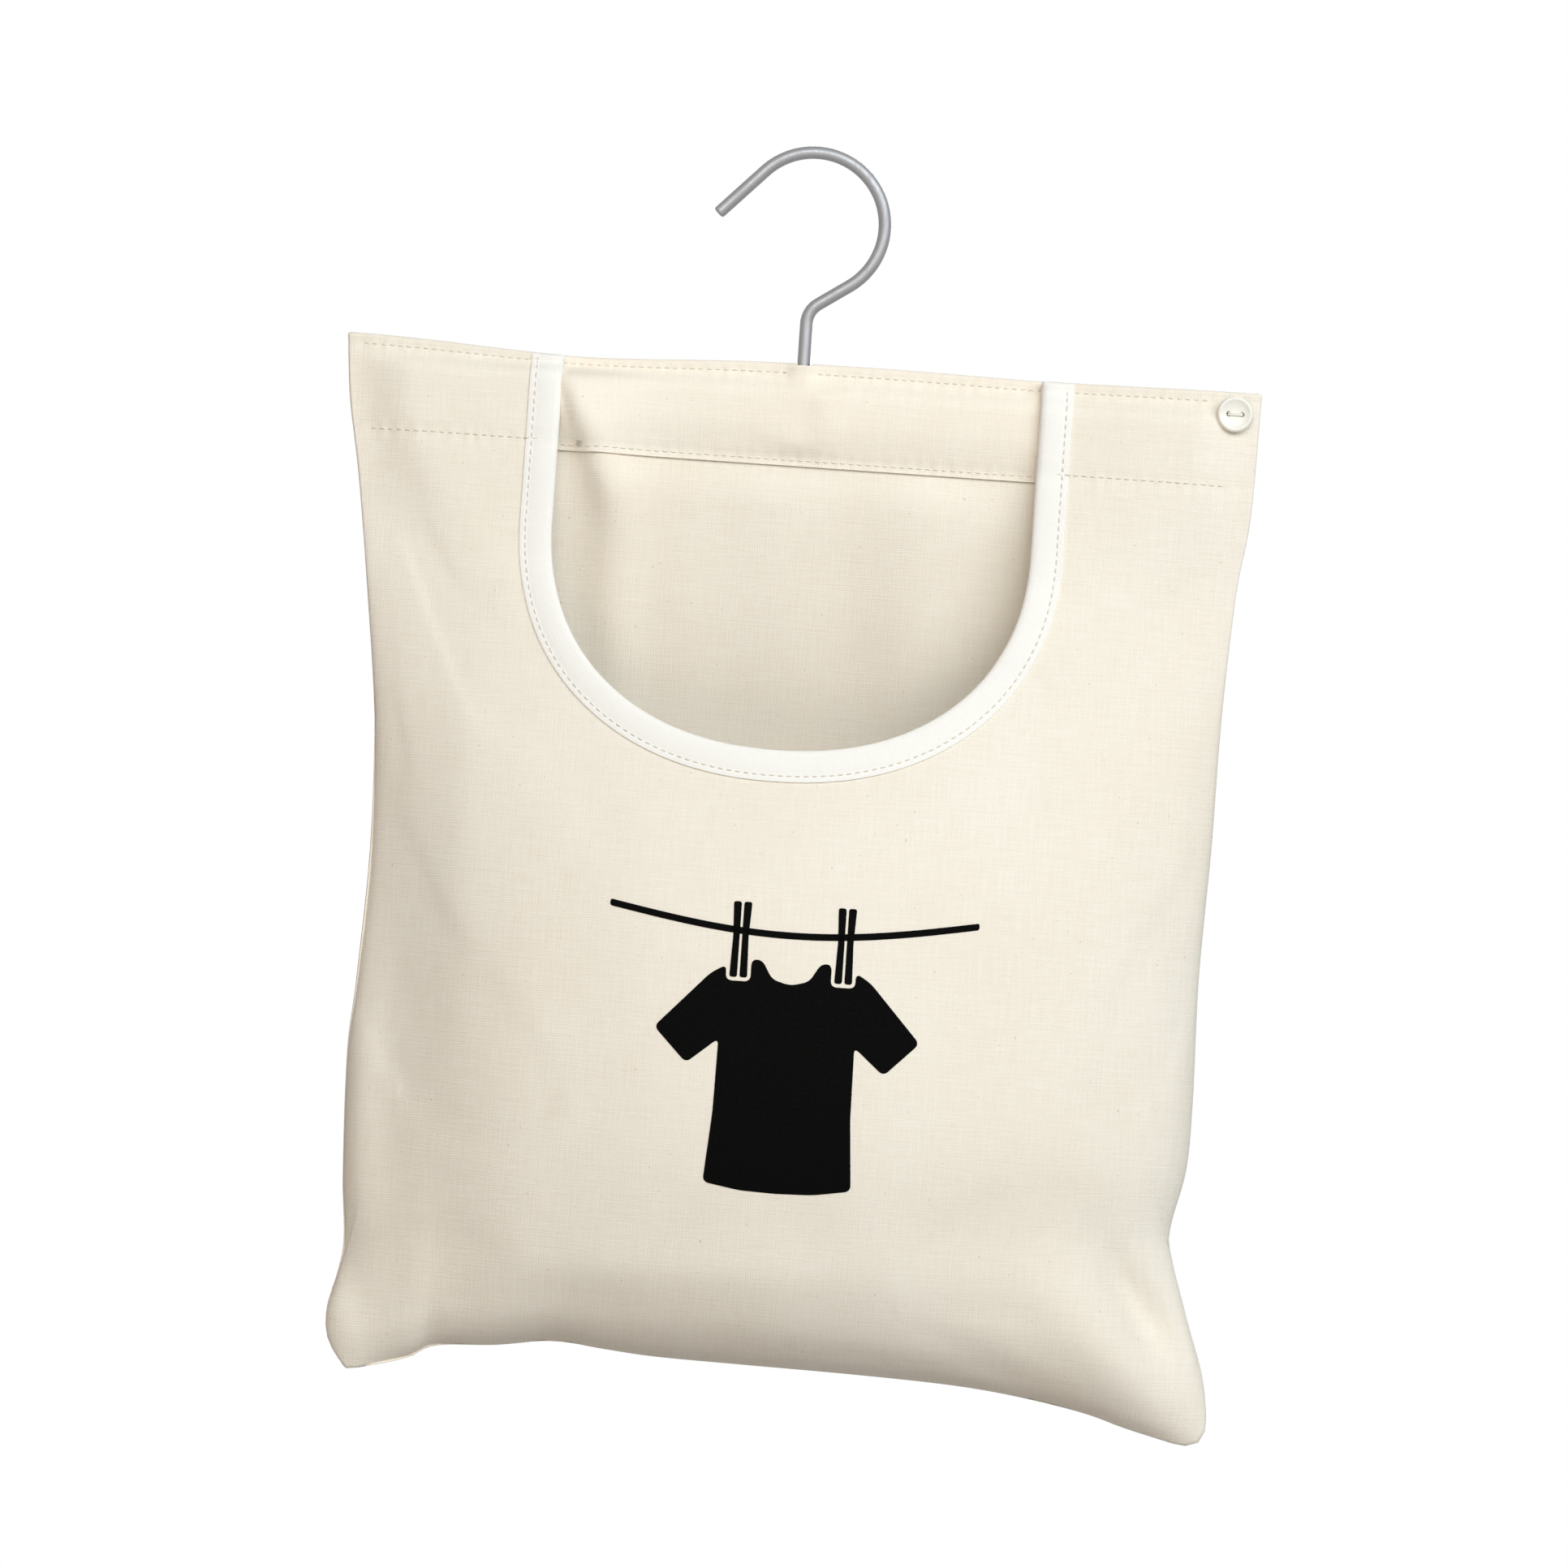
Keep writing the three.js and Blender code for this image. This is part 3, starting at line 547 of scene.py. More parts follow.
def back_flat():
    """The flat places of the back panel below the casing: rows run from side to side."""
    across = across_shares()
    down = 1 - np.linspace(1, 0, BACK_ROWS + 1) ** EDGE_CROWDING
    left_from = rim_at_drop(-1, casing_depth)
    right_from = rim_at_drop(1, casing_depth)
    left = rim(mix(left_from, left_corner_at, down))[:, None]
    right = rim(mix(right_from, right_corner_at, down))[:, None]
    bottom = rim(mix(left_corner_at, right_corner_at, across))[None]
    u = across[None, :, None]
    v = down[:, None, None]
    top = mix(left[:1], right[:1], u)
    corners = mix(mix(left[:1], right[:1], u), mix(bottom[:, :1], bottom[:, -1:], u), v)
    return mix(left, right, u) + mix(top, bottom, v) - corners


# The surfaces, from places across and drops

def bulge_at(x, drop):
    """How far a panel swells between its seams, from 0 to 1."""
    bottom = through(BOTTOM_EDGE, x)
    share = np.clip((drop - casing_depth) / (bottom - casing_depth), 0, 1)
    return through(BULGE_SHARES, share) * (1 - side_at(x, drop) ** 2) ** CROSS_POWER


bar_end_share = (bar_high.x + SEAT_GAP) / RIGHT_EDGE[0, 1]
taper_end_share = bar_end_share + ramp_length / RIGHT_EDGE[0, 1]


def over_bar(x, drop):
    """How far the casing stands open round the bar, from 0 to 1."""
    opening = smooth((drop - RIDGE) / ramp_length)
    closing_from = mix(bar_bottom - BAR_CORNER, head_top, np.exp(-((x / HEAD_REACH) ** 2)))
    closing = eased((CASING_STITCH - drop) / (CASING_STITCH - closing_from))
    return opening * closing * along_bar(x)


def along_bar(x):
    """1 over the bar's length, falling to 0 beyond its ends."""
    side = np.abs(x) / RIGHT_EDGE[0, 1]
    return smooth((taper_end_share - side) / (taper_end_share - bar_end_share))


def seam_forward(x, drop):
    """How far the casing's seam hangs in front of the bar's middle."""
    below = smooth((drop - bar_bottom + BAR_CORNER) / (CASING_STITCH - bar_bottom + BAR_CORNER))
    return SEAM_FORWARD * below * (1 - smooth((drop - casing_depth) / SEAM_CLOSING)) * along_bar(x)


def over_casing(x, drop):
    """How far the front panel is pushed out by the casing behind it, from 0 to 1."""
    fall = smooth((drop - bar_bottom) / MOUTH_DEPTH)
    inner = mix(bar_end_share, bar_end_share * SHOULDER_FADE_SHARE, fall)
    outer = mix(SEAM_REACH_SHARE, 1, fall)
    side = np.abs(side_at(x, drop))
    return smooth((drop - RIDGE) / ramp_length) * (1 - fall) * smooth((outer - side) / (outer - inner))


def points_at(x, y, drop):
    """Points in the part's frame. The top edge dips a little between its ends."""
    dip = sum(depth * np.exp(-(((x - middle) / width) ** 2)) for middle, width, depth in TOP_DIPS)
    z = top_z - drop - dip * np.clip(1 - drop / TOP_DIP_DROP, 0, 1)
    return np.stack(np.broadcast_arrays(x, y, z), -1)


def round_wire(x, drop):
    """How far the two plies of the casing part to let the hook's wire through."""
    reach = WIRE / 2 + SEAT_GAP + half_cloth - half_ply
    return reach * smooth(1 - np.abs(x) / WIRE_PARTING) * (1 - over_bar(x, drop)) * (drop < bar_bottom)


def groove(drop, rows):
    """How deep rows of stitches at these drops pull the cloth in."""
    return GROOVE_DEPTH * sum(np.exp(-(((drop - row) / GROOVE_HALF) ** 2)) for row in rows)


def outer_points(flat):
    """The outer ply of the front panel."""
    x, drop = flat[..., 0], flat[..., 1]
    closing = smooth((drop - hem_depth) / SEAM_CLOSING)
    y = mix(outer_ply, rim_depth, closing) + bar_swell * over_casing(x, drop)
    y = y + FRONT_BULGE * bulge_at(x, drop) - groove(drop, (RIDGE_STITCH, HEM_STITCH))
    return points_at(x, -y, drop)


def back_points(flat):
    """The back panel's outer ply, with the casing's back."""
    x, drop = flat[..., 0], flat[..., 1]
    closing = smooth((drop - casing_depth) / SEAM_CLOSING)
    y = mix(half_ply, rim_depth, closing) + bar_swell * over_bar(x, drop) + BACK_BULGE * bulge_at(x, drop)
    y = y + round_wire(x, drop) - seam_forward(x, drop)
    return points_at(x, y - groove(drop, (RIDGE_STITCH, CASING_STITCH)), drop)


def facing_points(flat):
    """The casing's front ply."""
    x, drop = flat[..., 0], flat[..., 1]
    y = half_ply + bar_swell * over_bar(x, drop) + round_wire(x, drop) + seam_forward(x, drop)
    return points_at(x, groove(drop, (RIDGE_STITCH, CASING_STITCH)) - y, drop)


def folded(points, flat, folds, loose=1):
    """Adds small folds to a surface where it is loose, as soft bumps and hollows along y."""
    x, drop = flat[..., 0], flat[..., 1]
    for at_x, at_drop, turn, length, width, height in folds:
        angle = math.radians(turn)
        dx, dd = x - at_x * MM, drop - at_drop * MM
        run = (dx * math.cos(angle) + dd * math.sin(angle)) / (length * MM)
        off = (dd * math.cos(angle) - dx * math.sin(angle)) / (width * MM)
        points[..., 1] -= height * MM * np.exp(-(run**2) - off**2) * loose
    return points


# How the cloth settles

def settled(points, pins):
    """Lets the cloth between its pinned edges settle, and returns where it comes to lie."""
    mesh = bpy.data.meshes.new("settling")
    mesh.from_pydata(points.reshape(-1, 3).tolist(), [], squares(*points.shape[:2]).reshape(-1, 4).tolist())
    cloth = placed("settling", mesh)
    group = cloth.vertex_groups.new(name="pins")
    for i, weight in enumerate(pins.ravel()):
        group.add([i], float(weight), "REPLACE")
    modifier = cloth.modifiers.new("cloth", "CLOTH")
    for key, value in CLOTH_SETTINGS.items():
        setattr(modifier.settings, key, value)
    modifier.settings.effector_weights.gravity = SETTLE_GRAVITY
    modifier.settings.uniform_pressure_force = -PUSH
    modifier.collision_settings.use_collision = False
    modifier.point_cache.frame_end = SETTLE_FRAMES
    for number in range(1, SETTLE_FRAMES + 1):
        scene.frame_set(number)
    shown = cloth.evaluated_get(bpy.context.evaluated_depsgraph_get()).to_mesh()
    places = np.zeros(points.size, np.float32)
    shown.vertices.foreach_get("co", places)
    bpy.data.objects.remove(cloth)
    bpy.data.meshes.remove(mesh)
    scene.frame_set(1)
    return places.reshape(points.shape).astype(float)


def settle_panel(points, flat, to_seam):
    """Settles a panel, with its outline and its hemmed top held, and caps how far it moves."""
    pins = np.zeros(points.shape[:2])
    drop = flat[..., 1]
    pins[drop < RIDGE * 2] = 1
    pins[to_seam < MM] = 1
    move = settled(points, pins) - points
    move = capped(blurred(move, SOFTEN_ROUNDS) - blurred(move, BLUR_ROUNDS), drop)
    return points + move * smooth(to_seam / SEAM_HOLD)[..., None]


def blurred(values, rounds):
    """A grid of values after each has been mixed with its neighbours a number of times."""
    for _ in range(rounds):
        for axis in (0, 1):
            ends = [(1, 1) if axis == number else (0, 0) for number in range(values.ndim)]
            wide = np.pad(values, ends, mode="edge")
            before = np.take(wide, range(values.shape[axis]), axis)
            after = np.take(wide, range(2, values.shape[axis] + 2), axis)
            values = (before + 2 * values + after) / 4
    return values


def capped(move, drop):
    """Limits each move softly, and fades it out towards the hemmed top."""
    length = np.linalg.norm(move, axis=-1, keepdims=True)
    move = move * (MOST_MOVE * np.tanh(length / MOST_MOVE) / np.maximum(length, TINY))
    return move * smooth((drop - hem_depth) / HELD_DROP)[..., None]


# Meshes

def ways_along(points, axis):
    """The direction of a grid's lines at each point, and how much a crease lengthens an offset there."""
    step = unit(np.diff(points, axis=axis))
    first = np.take(step, [0], axis)
    last = np.take(step, [-1], axis)
    total = np.concatenate([first, step], axis) + np.concatenate([step, last], axis)
    length = np.maximum(np.linalg.norm(total, axis=-1, keepdims=True), LEAST_TURN)
    return total / length, np.minimum(2 / length, MOST_MITRE)


def grid_normals(points):
    """The normals of a grid, lengthened at creases so that an offset stays parallel."""
    down, down_stretch = ways_along(points, 0)
    across, across_stretch = ways_along(points, 1)
    return unit(np.cross(down, across)), np.minimum(down_stretch * across_stretch, MOST_MITRE)


def write_places(mesh, places):
    """Puts each vertex's place on the cloth into the mesh's UV map."""
    corner = np.zeros(len(mesh.loops), np.int32)
    mesh.loops.foreach_get("vertex_index", corner)
    layer = mesh.uv_layers.new(name=FLAT_MAP)
    layer.uv.foreach_set("vector", np.asarray(places).reshape(-1, 2)[corner].astype(np.float32).ravel())


def mesh_of(name, vertices, faces, places=None):
    """A smooth-shaded mesh. Places are each vertex's place on the cloth, which becomes its UV."""
    mesh = bpy.data.meshes.new(name)
    mesh.from_pydata(np.asarray(vertices).reshape(-1, 3).tolist(), [], [list(face) for face in faces])
    if places is not None:
        write_places(mesh, places)
    mesh.shade_smooth()
    mesh.set_sharp_from_angle(angle=SHARP_ANGLE)
    mesh.update()
    return mesh


def solid_sheet(name, points, places, thickness, keep=None):
    """A closed sheet of even thickness round a grid of points. Squares that aren't kept leave a hole."""
    normals, stretch = grid_normals(points)
    offset = normals * stretch * thickness / 2
    near = (points + offset).reshape(-1, 3)
    far = (points - offset).reshape(-1, 3)
    faces = squares(*points.shape[:2])
    faces = faces.reshape(-1, 4) if keep is None else faces[keep]
    count = len(near)
    sides = {(int(a), int(b)) for face in faces for a, b in zip(face, np.roll(face, -1))}
    walls = [(b, a, a + count, b + count) for a, b in sides if (b, a) not in sides]
    all_faces = faces.tolist() + (faces[:, ::-1] + count).tolist() + sorted(walls)
    places = np.concatenate([places.reshape(-1, 2)] * 2)
    return mesh_of(name, np.concatenate([near, far]), all_faces, places)


def add_piece(name, mesh, material, slot, *stands_for, body="bag"):
    """Puts a piece into the scene on its body, with its finish, for the nodes that it stands for."""
    piece = placed(name, mesh)
    mesh.materials.append(material)
    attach(piece, body)
    if stands_for:
        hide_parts(*stands_for)
    return piece


def add_sheet(name, sheet, thickness, material, slot, *stands_for, keep=None):
    """Puts in a closed sheet, made from a grid of points and their flat places."""
    return add_piece(name, solid_sheet(name, *sheet, thickness, keep), material, slot, *stands_for)


def turn_offsets(edge, inner, inner_y):
    """How far the cloth lies from its outline as it turns in round the seam, for each step of the turn."""
    along = unit(np.gradient(edge, axis=0) * LEVEL)
    out = (edge - inner) * LEVEL
    out = unit(out - along * np.sum(out * along, -1, keepdims=True))
    half = (inner_y - edge[:, 1]) / 2
    reach = np.abs(half) * TURN_REACH_SHARE
    angles = math.pi * np.arange(1, TURN_STEPS + 1) / TURN_STEPS
    offsets = out[:, None] * (reach[:, None] * np.sin(angles))[..., None]
    offsets[..., 1] = half[:, None] * (1 - np.cos(angles))
    return offsets


def tucked_in(points):
    """Widens an inner ply's rows by as many columns as a turn has, and ends them inside the outline."""
    edge = points[:, -1:]
    way = unit(points[:, -4:-3] - edge)
    steps = np.arange(TURN_STEPS + 2, -1, -1)[None, :, None] * TUCK_STEP
    return np.concatenate([points[:, :-3], edge + way * (TUCK_INSET + steps)], 1)


def folded_over(inner, outer_row):
    """An inner ply's rows from its far end up, and those of its fold over the top edge to an outer row."""
    middle = (inner[0] + outer_row) / 2
    half = (outer_row - inner[0]) / 2
    rows = []
    for share in FOLD_TURN_SHARES:
        angle = math.pi * share
        rows.append(middle - half * math.cos(angle) + np.array([0, 0, half_ply * math.sin(angle)]))
    return np.concatenate([inner[::-1], rows])


def folded_places(places):
    """The flat places of an inner ply and its fold. Their drops are negative, or 0 in the fold."""
    fold = np.repeat(places[:1] * np.array([1, 0]), len(FOLD_TURN_SHARES), 0)
    return np.concatenate([places[::-1] * np.array([1, -1]), fold])


# The front panel

def seam_y(drop, at_shoulder):
    """Where the front's and the back's turned edges meet."""
    return mix(at_shoulder, half_cloth, smooth((drop - hem_depth) / SEAM_CLOSING))


def make_front():
    """The front panel's flat places and settled outer ply, and the whole panel's grid and places."""
    flat = front_flat()
    to_seam = np.linalg.norm(flat - flat[:, -1:], axis=-1)
    outer = settle_panel(folded(outer_points(flat), flat, FRONT_FOLDS), flat, to_seam)
    turn = turn_offsets(outer[:, -1], outer[:, -4], -seam_y(flat[:, -1, 1], SEAM_SHOULDER))
    wide = np.concatenate([outer, outer[:, -1:] + turn], 1)
    wide_flat = np.pad(flat, ((0, 0), (0, TURN_STEPS), (0, 0)), mode="edge")
    count = int(np.sum(SHOULDER_DROPS <= hem_depth + half_ply))
    parts = []
    flats = []
    for part, places in ((wide, wide_flat), (wide[::-1], wide_flat[::-1])):
        hem = tucked_in(part[:count, :-TURN_STEPS] + np.array([0, PLY_STEP, 0]))
        parts.append(folded_over(hem, part[0]))
        flats.append(folded_places(places[:count]))
    grid = np.concatenate([parts[0], wide, parts[1][::-1]])
    return flat, outer, (grid, np.concatenate([flats[0], wide_flat, flats[1][::-1]]))


# The back panel

def widened(grid, left, right):
    """Adds turned columns on both sides of a grid."""
    return np.concatenate([grid[:, :1] + left[:, ::-1], grid, grid[:, -1:] + right], 1)


def make_back():
    """The back panel's flat places and settled ply, the casing's front ply and its flat places, and the
    whole panel's grid and places, and its kept squares."""
    across = across_shares()[None]
    left, right = [rim(rim_at_drop(hand, CASING_DROPS))[:, :1] for hand in (-1, 1)]
    casing = np.stack(np.broadcast_arrays(mix(left, right, across), CASING_DROPS[:, None]), -1)
    flat = np.concatenate([casing, back_flat()[1:]])
    seams = (flat[:, :1], flat[:, -1:], flat[-1:])
    to_seam = np.min([np.linalg.norm(flat - seam, axis=-1) for seam in seams], 0)
    below_bar = smooth((flat[..., 1] - bar_bottom) / (CASING_STITCH - bar_bottom))
    below_casing = smooth((flat[..., 1] - casing_depth) / FOLD_FADE)
    back = folded(back_points(flat), flat, FACING_FOLDS, below_bar)
    back = settle_panel(folded(back, flat, BACK_FOLDS, below_casing), flat, to_seam)
    turns = []
    for edge, inside in ((0, 3), (-1, -4)):
        turns.append(turn_offsets(back[:, edge], back[:, inside], seam_y(flat[:, edge, 1], -SEAM_CASING)))
    bottom_turn = turn_offsets(back[-1], back[-4], np.full(flat.shape[1], half_cloth))
    wide = [widened(back, *turns)]
    for number in range(TURN_STEPS):
        wide.append(widened(back[-1:] + bottom_turn[None, :, number], *[turn[-1:] * LEVEL for turn in turns]))
    wide = np.concatenate(wide)
    places = np.pad(flat, ((0, TURN_STEPS), (TURN_STEPS, TURN_STEPS), (0, 0)), mode="edge")
    below_ridge = smooth((casing[..., 1] - RIDGE) / FOLD_FADE)
    facing = folded(facing_points(casing), casing, FACING_FOLDS, below_ridge)
    tucked = tucked_in(tucked_in(facing)[:, ::-1])[:, ::-1]
    inner = folded_over(tucked, wide[0])
    grid = np.concatenate([inner, wide])
    all_places = np.concatenate([folded_places(places[:len(casing)]), places])
    middle = (grid[:-1, :-1] + grid[1:, 1:]) / 2
    keep = np.ones(middle.shape[:2], bool)
    over_fold = slice(len(tucked) - 1, len(inner))
    keep[over_fold] = np.abs(middle[over_fold, :, 0]) > SLIT_HALF
    return flat, back, casing, facing, (grid, all_places), keep


# The seams inside, and where a place on the cloth comes to lie

def seam_allowance():
    """The two plies inside the side and bottom seams, as a strip along the outline."""
    low = rim_at_drop(-1, hem_depth + HEM_EDGE)
    high = rim_at_drop(1, hem_depth + HEM_EDGE)
    at = np.linspace(low, high, ALLOWANCE_ROWS)
    edge = rim(at)
    along = unit(np.gradient(edge, axis=0))
    inward = np.stack([along[:, 1], -along[:, 0]], -1)
    inward *= np.sign(np.sum(inward * (np.array([0, MOUTH_DEPTH]) - edge), -1, keepdims=True))
    near = np.min([np.abs(at - corner) for corner in (left_corner_at, right_corner_at)], 0)
    wide = mix(ALLOWANCE_FROM, ALLOWANCE_TO, mix(ALLOWANCE_LEAST_SHARE, 1, smooth(near / ALLOWANCE_TAPER)))
    reach = mix(ALLOWANCE_FROM, wide[:, None], np.linspace(0, 1, ALLOWANCE_COLUMNS))
    places = edge[:, None] + inward[:, None] * reach[..., None]
    return points_at(places[..., 0], 0, places[..., 1]), places


class Cloth:
    """A panel that can be asked where a flat place on it has come to lie, and which way it faces."""

    def __init__(self, flat, points, out_sign):
        rows, columns = points.shape[:2]
        quads = squares(rows, columns).reshape(-1, 4)
        self.triangles = np.concatenate([quads[:, [0, 1, 2]], quads[:, [0, 2, 3]]])
        self.flat = flat.reshape(-1, 2)
        self.points = points.reshape(-1, 3)
        self.normals = grid_normals(points)[0].reshape(-1, 3) * out_sign
        level = np.concatenate([self.flat, np.zeros((len(self.flat), 1))], 1)
        self.tree = BVHTree.FromPolygons(level.tolist(), self.triangles.tolist())

    def at(self, places):
        """The points and outward directions at an array of flat places."""
        points = []
        normals = []
        for place in np.asarray(places).reshape(-1, 2):
            found, _, index, _ = self.tree.find_nearest((*place, 0))
            corners = self.triangles[index]
            a, b, c = self.flat[corners]
            shares = np.linalg.solve(np.stack([b - a, c - a], 1), np.array(found[:2]) - a)
            weights = np.array([1 - shares.sum(), *shares])
            points.append(weights @ self.points[corners])
            normals.append(unit(weights @ self.normals[corners]))
        shape = np.asarray(places).shape[:-1] + (3,)
        return np.array(points).reshape(shape), np.array(normals).reshape(shape)


# The binding and the stitches

def doubled_at(drop):
    """Where the mouth's edge holds two plies, from 0 to 1."""
    return smooth((hem_depth + HEM_EDGE - drop) / (2 * HEM_EDGE))


def mouth_binding(flat, outer):
    """The tape round the mouth's edge: its grid, and places along and across it."""
    out = -grid_normals(outer)[0]
    rows = []
    inset = np.array(INSET_SHARES) * BINDING_WIDTH
    for number in range(len(flat)):
        edge = outer[number, :len(inset)]
        open_way = unit(edge[0] - edge[1])
        ply = np.array([0, PLY_STEP * doubled_at(flat[number, 0, 1]), 0])
        row = []
        for reach, height, share in TAPE_PROFILE:
            at = max(reach, 0) * MM
            base = between(at, inset, edge)
            normal = between(at, inset, out[number, :len(inset)])
            row.append(base + open_way * max(-reach, 0) * MM + normal * height * MM + ply * share)
        rows.append(row)
    rows = np.array(rows)
    along = run_lengths(outer[:, 1])
    steps = np.linalg.norm(np.diff(rows, axis=1), axis=-1).mean(0)
    across = np.concatenate([[0], np.cumsum(steps)])
    ends = []
    for end in (0, -1):
        middle = (rows[end] + rows[end][::-1]) / 2
        rise = np.array([0, 0, TAPE_END_RISE])
        ends.append([mix(rows[end], middle, inward) + rise * up for inward, up in TAPE_END_SHARES])
    rows = np.concatenate([ends[0][::-1], rows, ends[1]])
    beyond = TAPE_END_RISE * np.array([1, 2])
    along = np.concatenate([along[:1] - beyond[::-1], along, along[-1:] + beyond])
    return rows, np.stack(np.meshgrid(across, along), -1)


def spaced(places):
    """Places of stitches along a line of places, and the line's direction at each."""
    length = run_lengths(places)
    at = np.arange(STITCH_PITCH / 2, length[-1] - STITCH_PITCH / 2, STITCH_PITCH)
    ends = [between(at + reach, length, places) for reach in (STITCH_PITCH / 4, -STITCH_PITCH / 4)]
    return between(at, length, places), unit(ends[0] - ends[1])


def ring_points(middles, beside, up, radii, sides):
    """Points round each middle, in the plane of two directions."""
    turns = 2 * math.pi * np.arange(sides) / sides
    ring = beside[..., None, :] * np.cos(turns)[:, None] + up[..., None, :] * np.sin(turns)[:, None]
    return (middles[..., None, :] + ring * np.asarray(radii)[..., None, None]).reshape(-1, 3)


def stitches(cloth, centres, ways, lift=0):
    """Vertices and faces of a row of stitches that lie on a cloth, each a small arched thread."""
    run = np.linspace(-1, 1, STITCH_RINGS)
    places = centres[:, None] + ways[:, None] * (run * STITCH / 2)[None, :, None]
    points, normals = cloth.at(places)
    arch = half_cloth + THREAD * (STITCH_RISE_SHARE * (1 - run**4) - STITCH_SINK_SHARE * run**4)
    points = points + normals * (arch + lift)[None, :, None]
    beside = np.cross(normals, unit(np.gradient(points, axis=1)))
    radius = THREAD / 2 * np.sqrt(1 - (STITCH_TAPER_SHARE * run) ** 2)
    vertices = ring_points(points, beside, normals, radius, STITCH_SIDES)
    return vertices, tube_faces(len(centres), STITCH_RINGS, STITCH_SIDES)


def tube_faces(count, rings, sides):
    """The faces of a number of closed tubes, each with its rings in order."""
    faces = []
    for tube in np.arange(count * rings * sides).reshape(count, rings, sides):
        after = np.roll(tube, -1, 1)
        walls = np.stack([tube[:-1], after[:-1], after[1:], tube[1:]], -1)
        faces += walls.reshape(-1, 4).tolist() + [tube[0, ::-1].tolist(), tube[-1].tolist()]
    return faces


def joined(*meshes):
    """Several lists of vertices and faces as one."""
    vertices = np.concatenate([mesh[0] for mesh in meshes])
    faces = []
    start = 0
    for points, rings in meshes:
        faces += [tuple(corner + start for corner in face) for face in rings]
        start += len(points)
    return vertices, faces


def add_thread(name, node, *runs):
    """A row of stitches as a piece that stands for a thread of the part."""
    return add_piece(name, mesh_of(name, *joined(*runs)), thread_finish, "thread", node)


def level_run(cloth, x_from, x_to, drop, lift=0):
    """A row of stitches at one drop."""
    return stitches(cloth, *spaced(np.array([(x_from, drop), (x_to, drop)])), lift)


def inset_line(flat, reach):
    """The flat places at a distance from the mouth's edge."""
    share = reach / BINDING_WIDTH
    count = len(INSET_SHARES)
    return np.array([between(share, INSET_SHARES, row[:count]) for row in flat])


# The hook and the button

def swept(path, radii, sides, square):
    """A round rod along a path that is square to a direction, with a radius at each point or one for all."""
    beside = np.cross(square, unit(np.gradient(path, axis=0)))
    return ring_points(path, beside, np.array(square), radii, sides), tube_faces(1, len(path), sides)


def arc(centre, radius, angle_from, angle_to, count):
    """Points of an arc in the plane y = 0."""
    angles = np.linspace(angle_from, angle_to, count)
    return np.array(centre) + radius * np.stack([np.cos(angles), angles * 0, np.sin(angles)], -1)


def hook_path():
    """The wire's middle line, from the tail's tip round the loop and down the shank to the head."""
    centre = np.array([0, 0, top_z + LOOP_RISE])
    loop = arc(centre, LOOP_RADIUS, TAIL_ANGLE, NECK_ANGLE, LOOP_STEPS)
    tail_way = np.array([-math.sin(TAIL_ANGLE), 0, math.cos(TAIL_ANGLE)])
    tail = loop[0] + tail_way * TAIL_LENGTH * np.linspace(1, 0, TAIL_STEPS)[:-1, None]
    bend_z = top_z + NECK_HEIGHT - NECK_RADIUS * math.tan(-NECK_ANGLE / 2)
    neck = arc((NECK_RADIUS, 0, bend_z), NECK_RADIUS, math.pi + NECK_ANGLE, math.pi, NECK_STEPS)
    slant = mix(loop[-1], neck[0], np.linspace(0, 1, TAIL_STEPS)[1:-1, None])
    foot = np.array([0, 0, wire_low.z])
    shank = mix(neck[-1], foot, np.linspace(0, 1, TAIL_STEPS)[1:, None])
    return np.concatenate([tail, loop, slant, neck, shank])


def make_hook():
    """The wire with its rounded tip and the upset head at its foot."""
    path = hook_path()
    tip = path[0]
    way = unit(path[1] - tip)
    round_shares = np.linspace(0, 1, TIP_STEPS)
    tip_points = tip + way * (TIP_ROUND * round_shares)[:, None]
    tip_radii = WIRE / 2 - TIP_ROUND * (1 - np.sqrt(1 - (1 - round_shares) ** 2))
    head_z = wire_low.z + HEAD_HEIGHT * np.array(HEAD_SHARES)
    head_radii = np.array([WIRE, WIRE, HEAD_DIAMETER, HEAD_DIAMETER, HEAD_DIAMETER - 2 * HEAD_EDGE]) / 2
    head = np.stack([head_z * 0, head_z * 0, head_z], -1)
    between_ends = (path[:, 2] > head_z[0] + WIRE) & (np.linalg.norm(path - tip, axis=1) > TIP_CLEAR)
    body = path[between_ends]
    points = np.concatenate([tip_points, body, head])
    radii = np.concatenate([tip_radii, np.full(len(body), WIRE / 2), head_radii])
    return mesh_of("hook", *swept(points, radii, WIRE_SIDES, (0, 1, 0)))


def disc(profile, sides):
    """A turned body round the z axis from pairs of radius and height, closed at both ends."""
    turns = 2 * math.pi * np.arange(sides) / sides
    rings = [[(r * math.cos(t), r * math.sin(t), h) for t in turns] for r, h in profile]
    return np.array(rings).reshape(-1, 3), tube_faces(1, len(profile), sides)


def cut_with(piece, cutters):
    """Cuts other pieces out of a piece, and deletes them."""
    for cutter in cutters:
        modifier = piece.modifiers.new("cut", "BOOLEAN")
        modifier.object = cutter
        modifier.solver = "EXACT"
    shown = piece.evaluated_get(bpy.context.evaluated_depsgraph_get())
    mesh = bpy.data.meshes.new_from_object(shown)
    piece.modifiers.clear()
    piece.data = mesh
    mesh.shade_smooth()
    mesh.set_sharp_from_angle(angle=SHARP_ANGLE)
    for cutter in cutters:
        bpy.data.objects.remove(cutter)


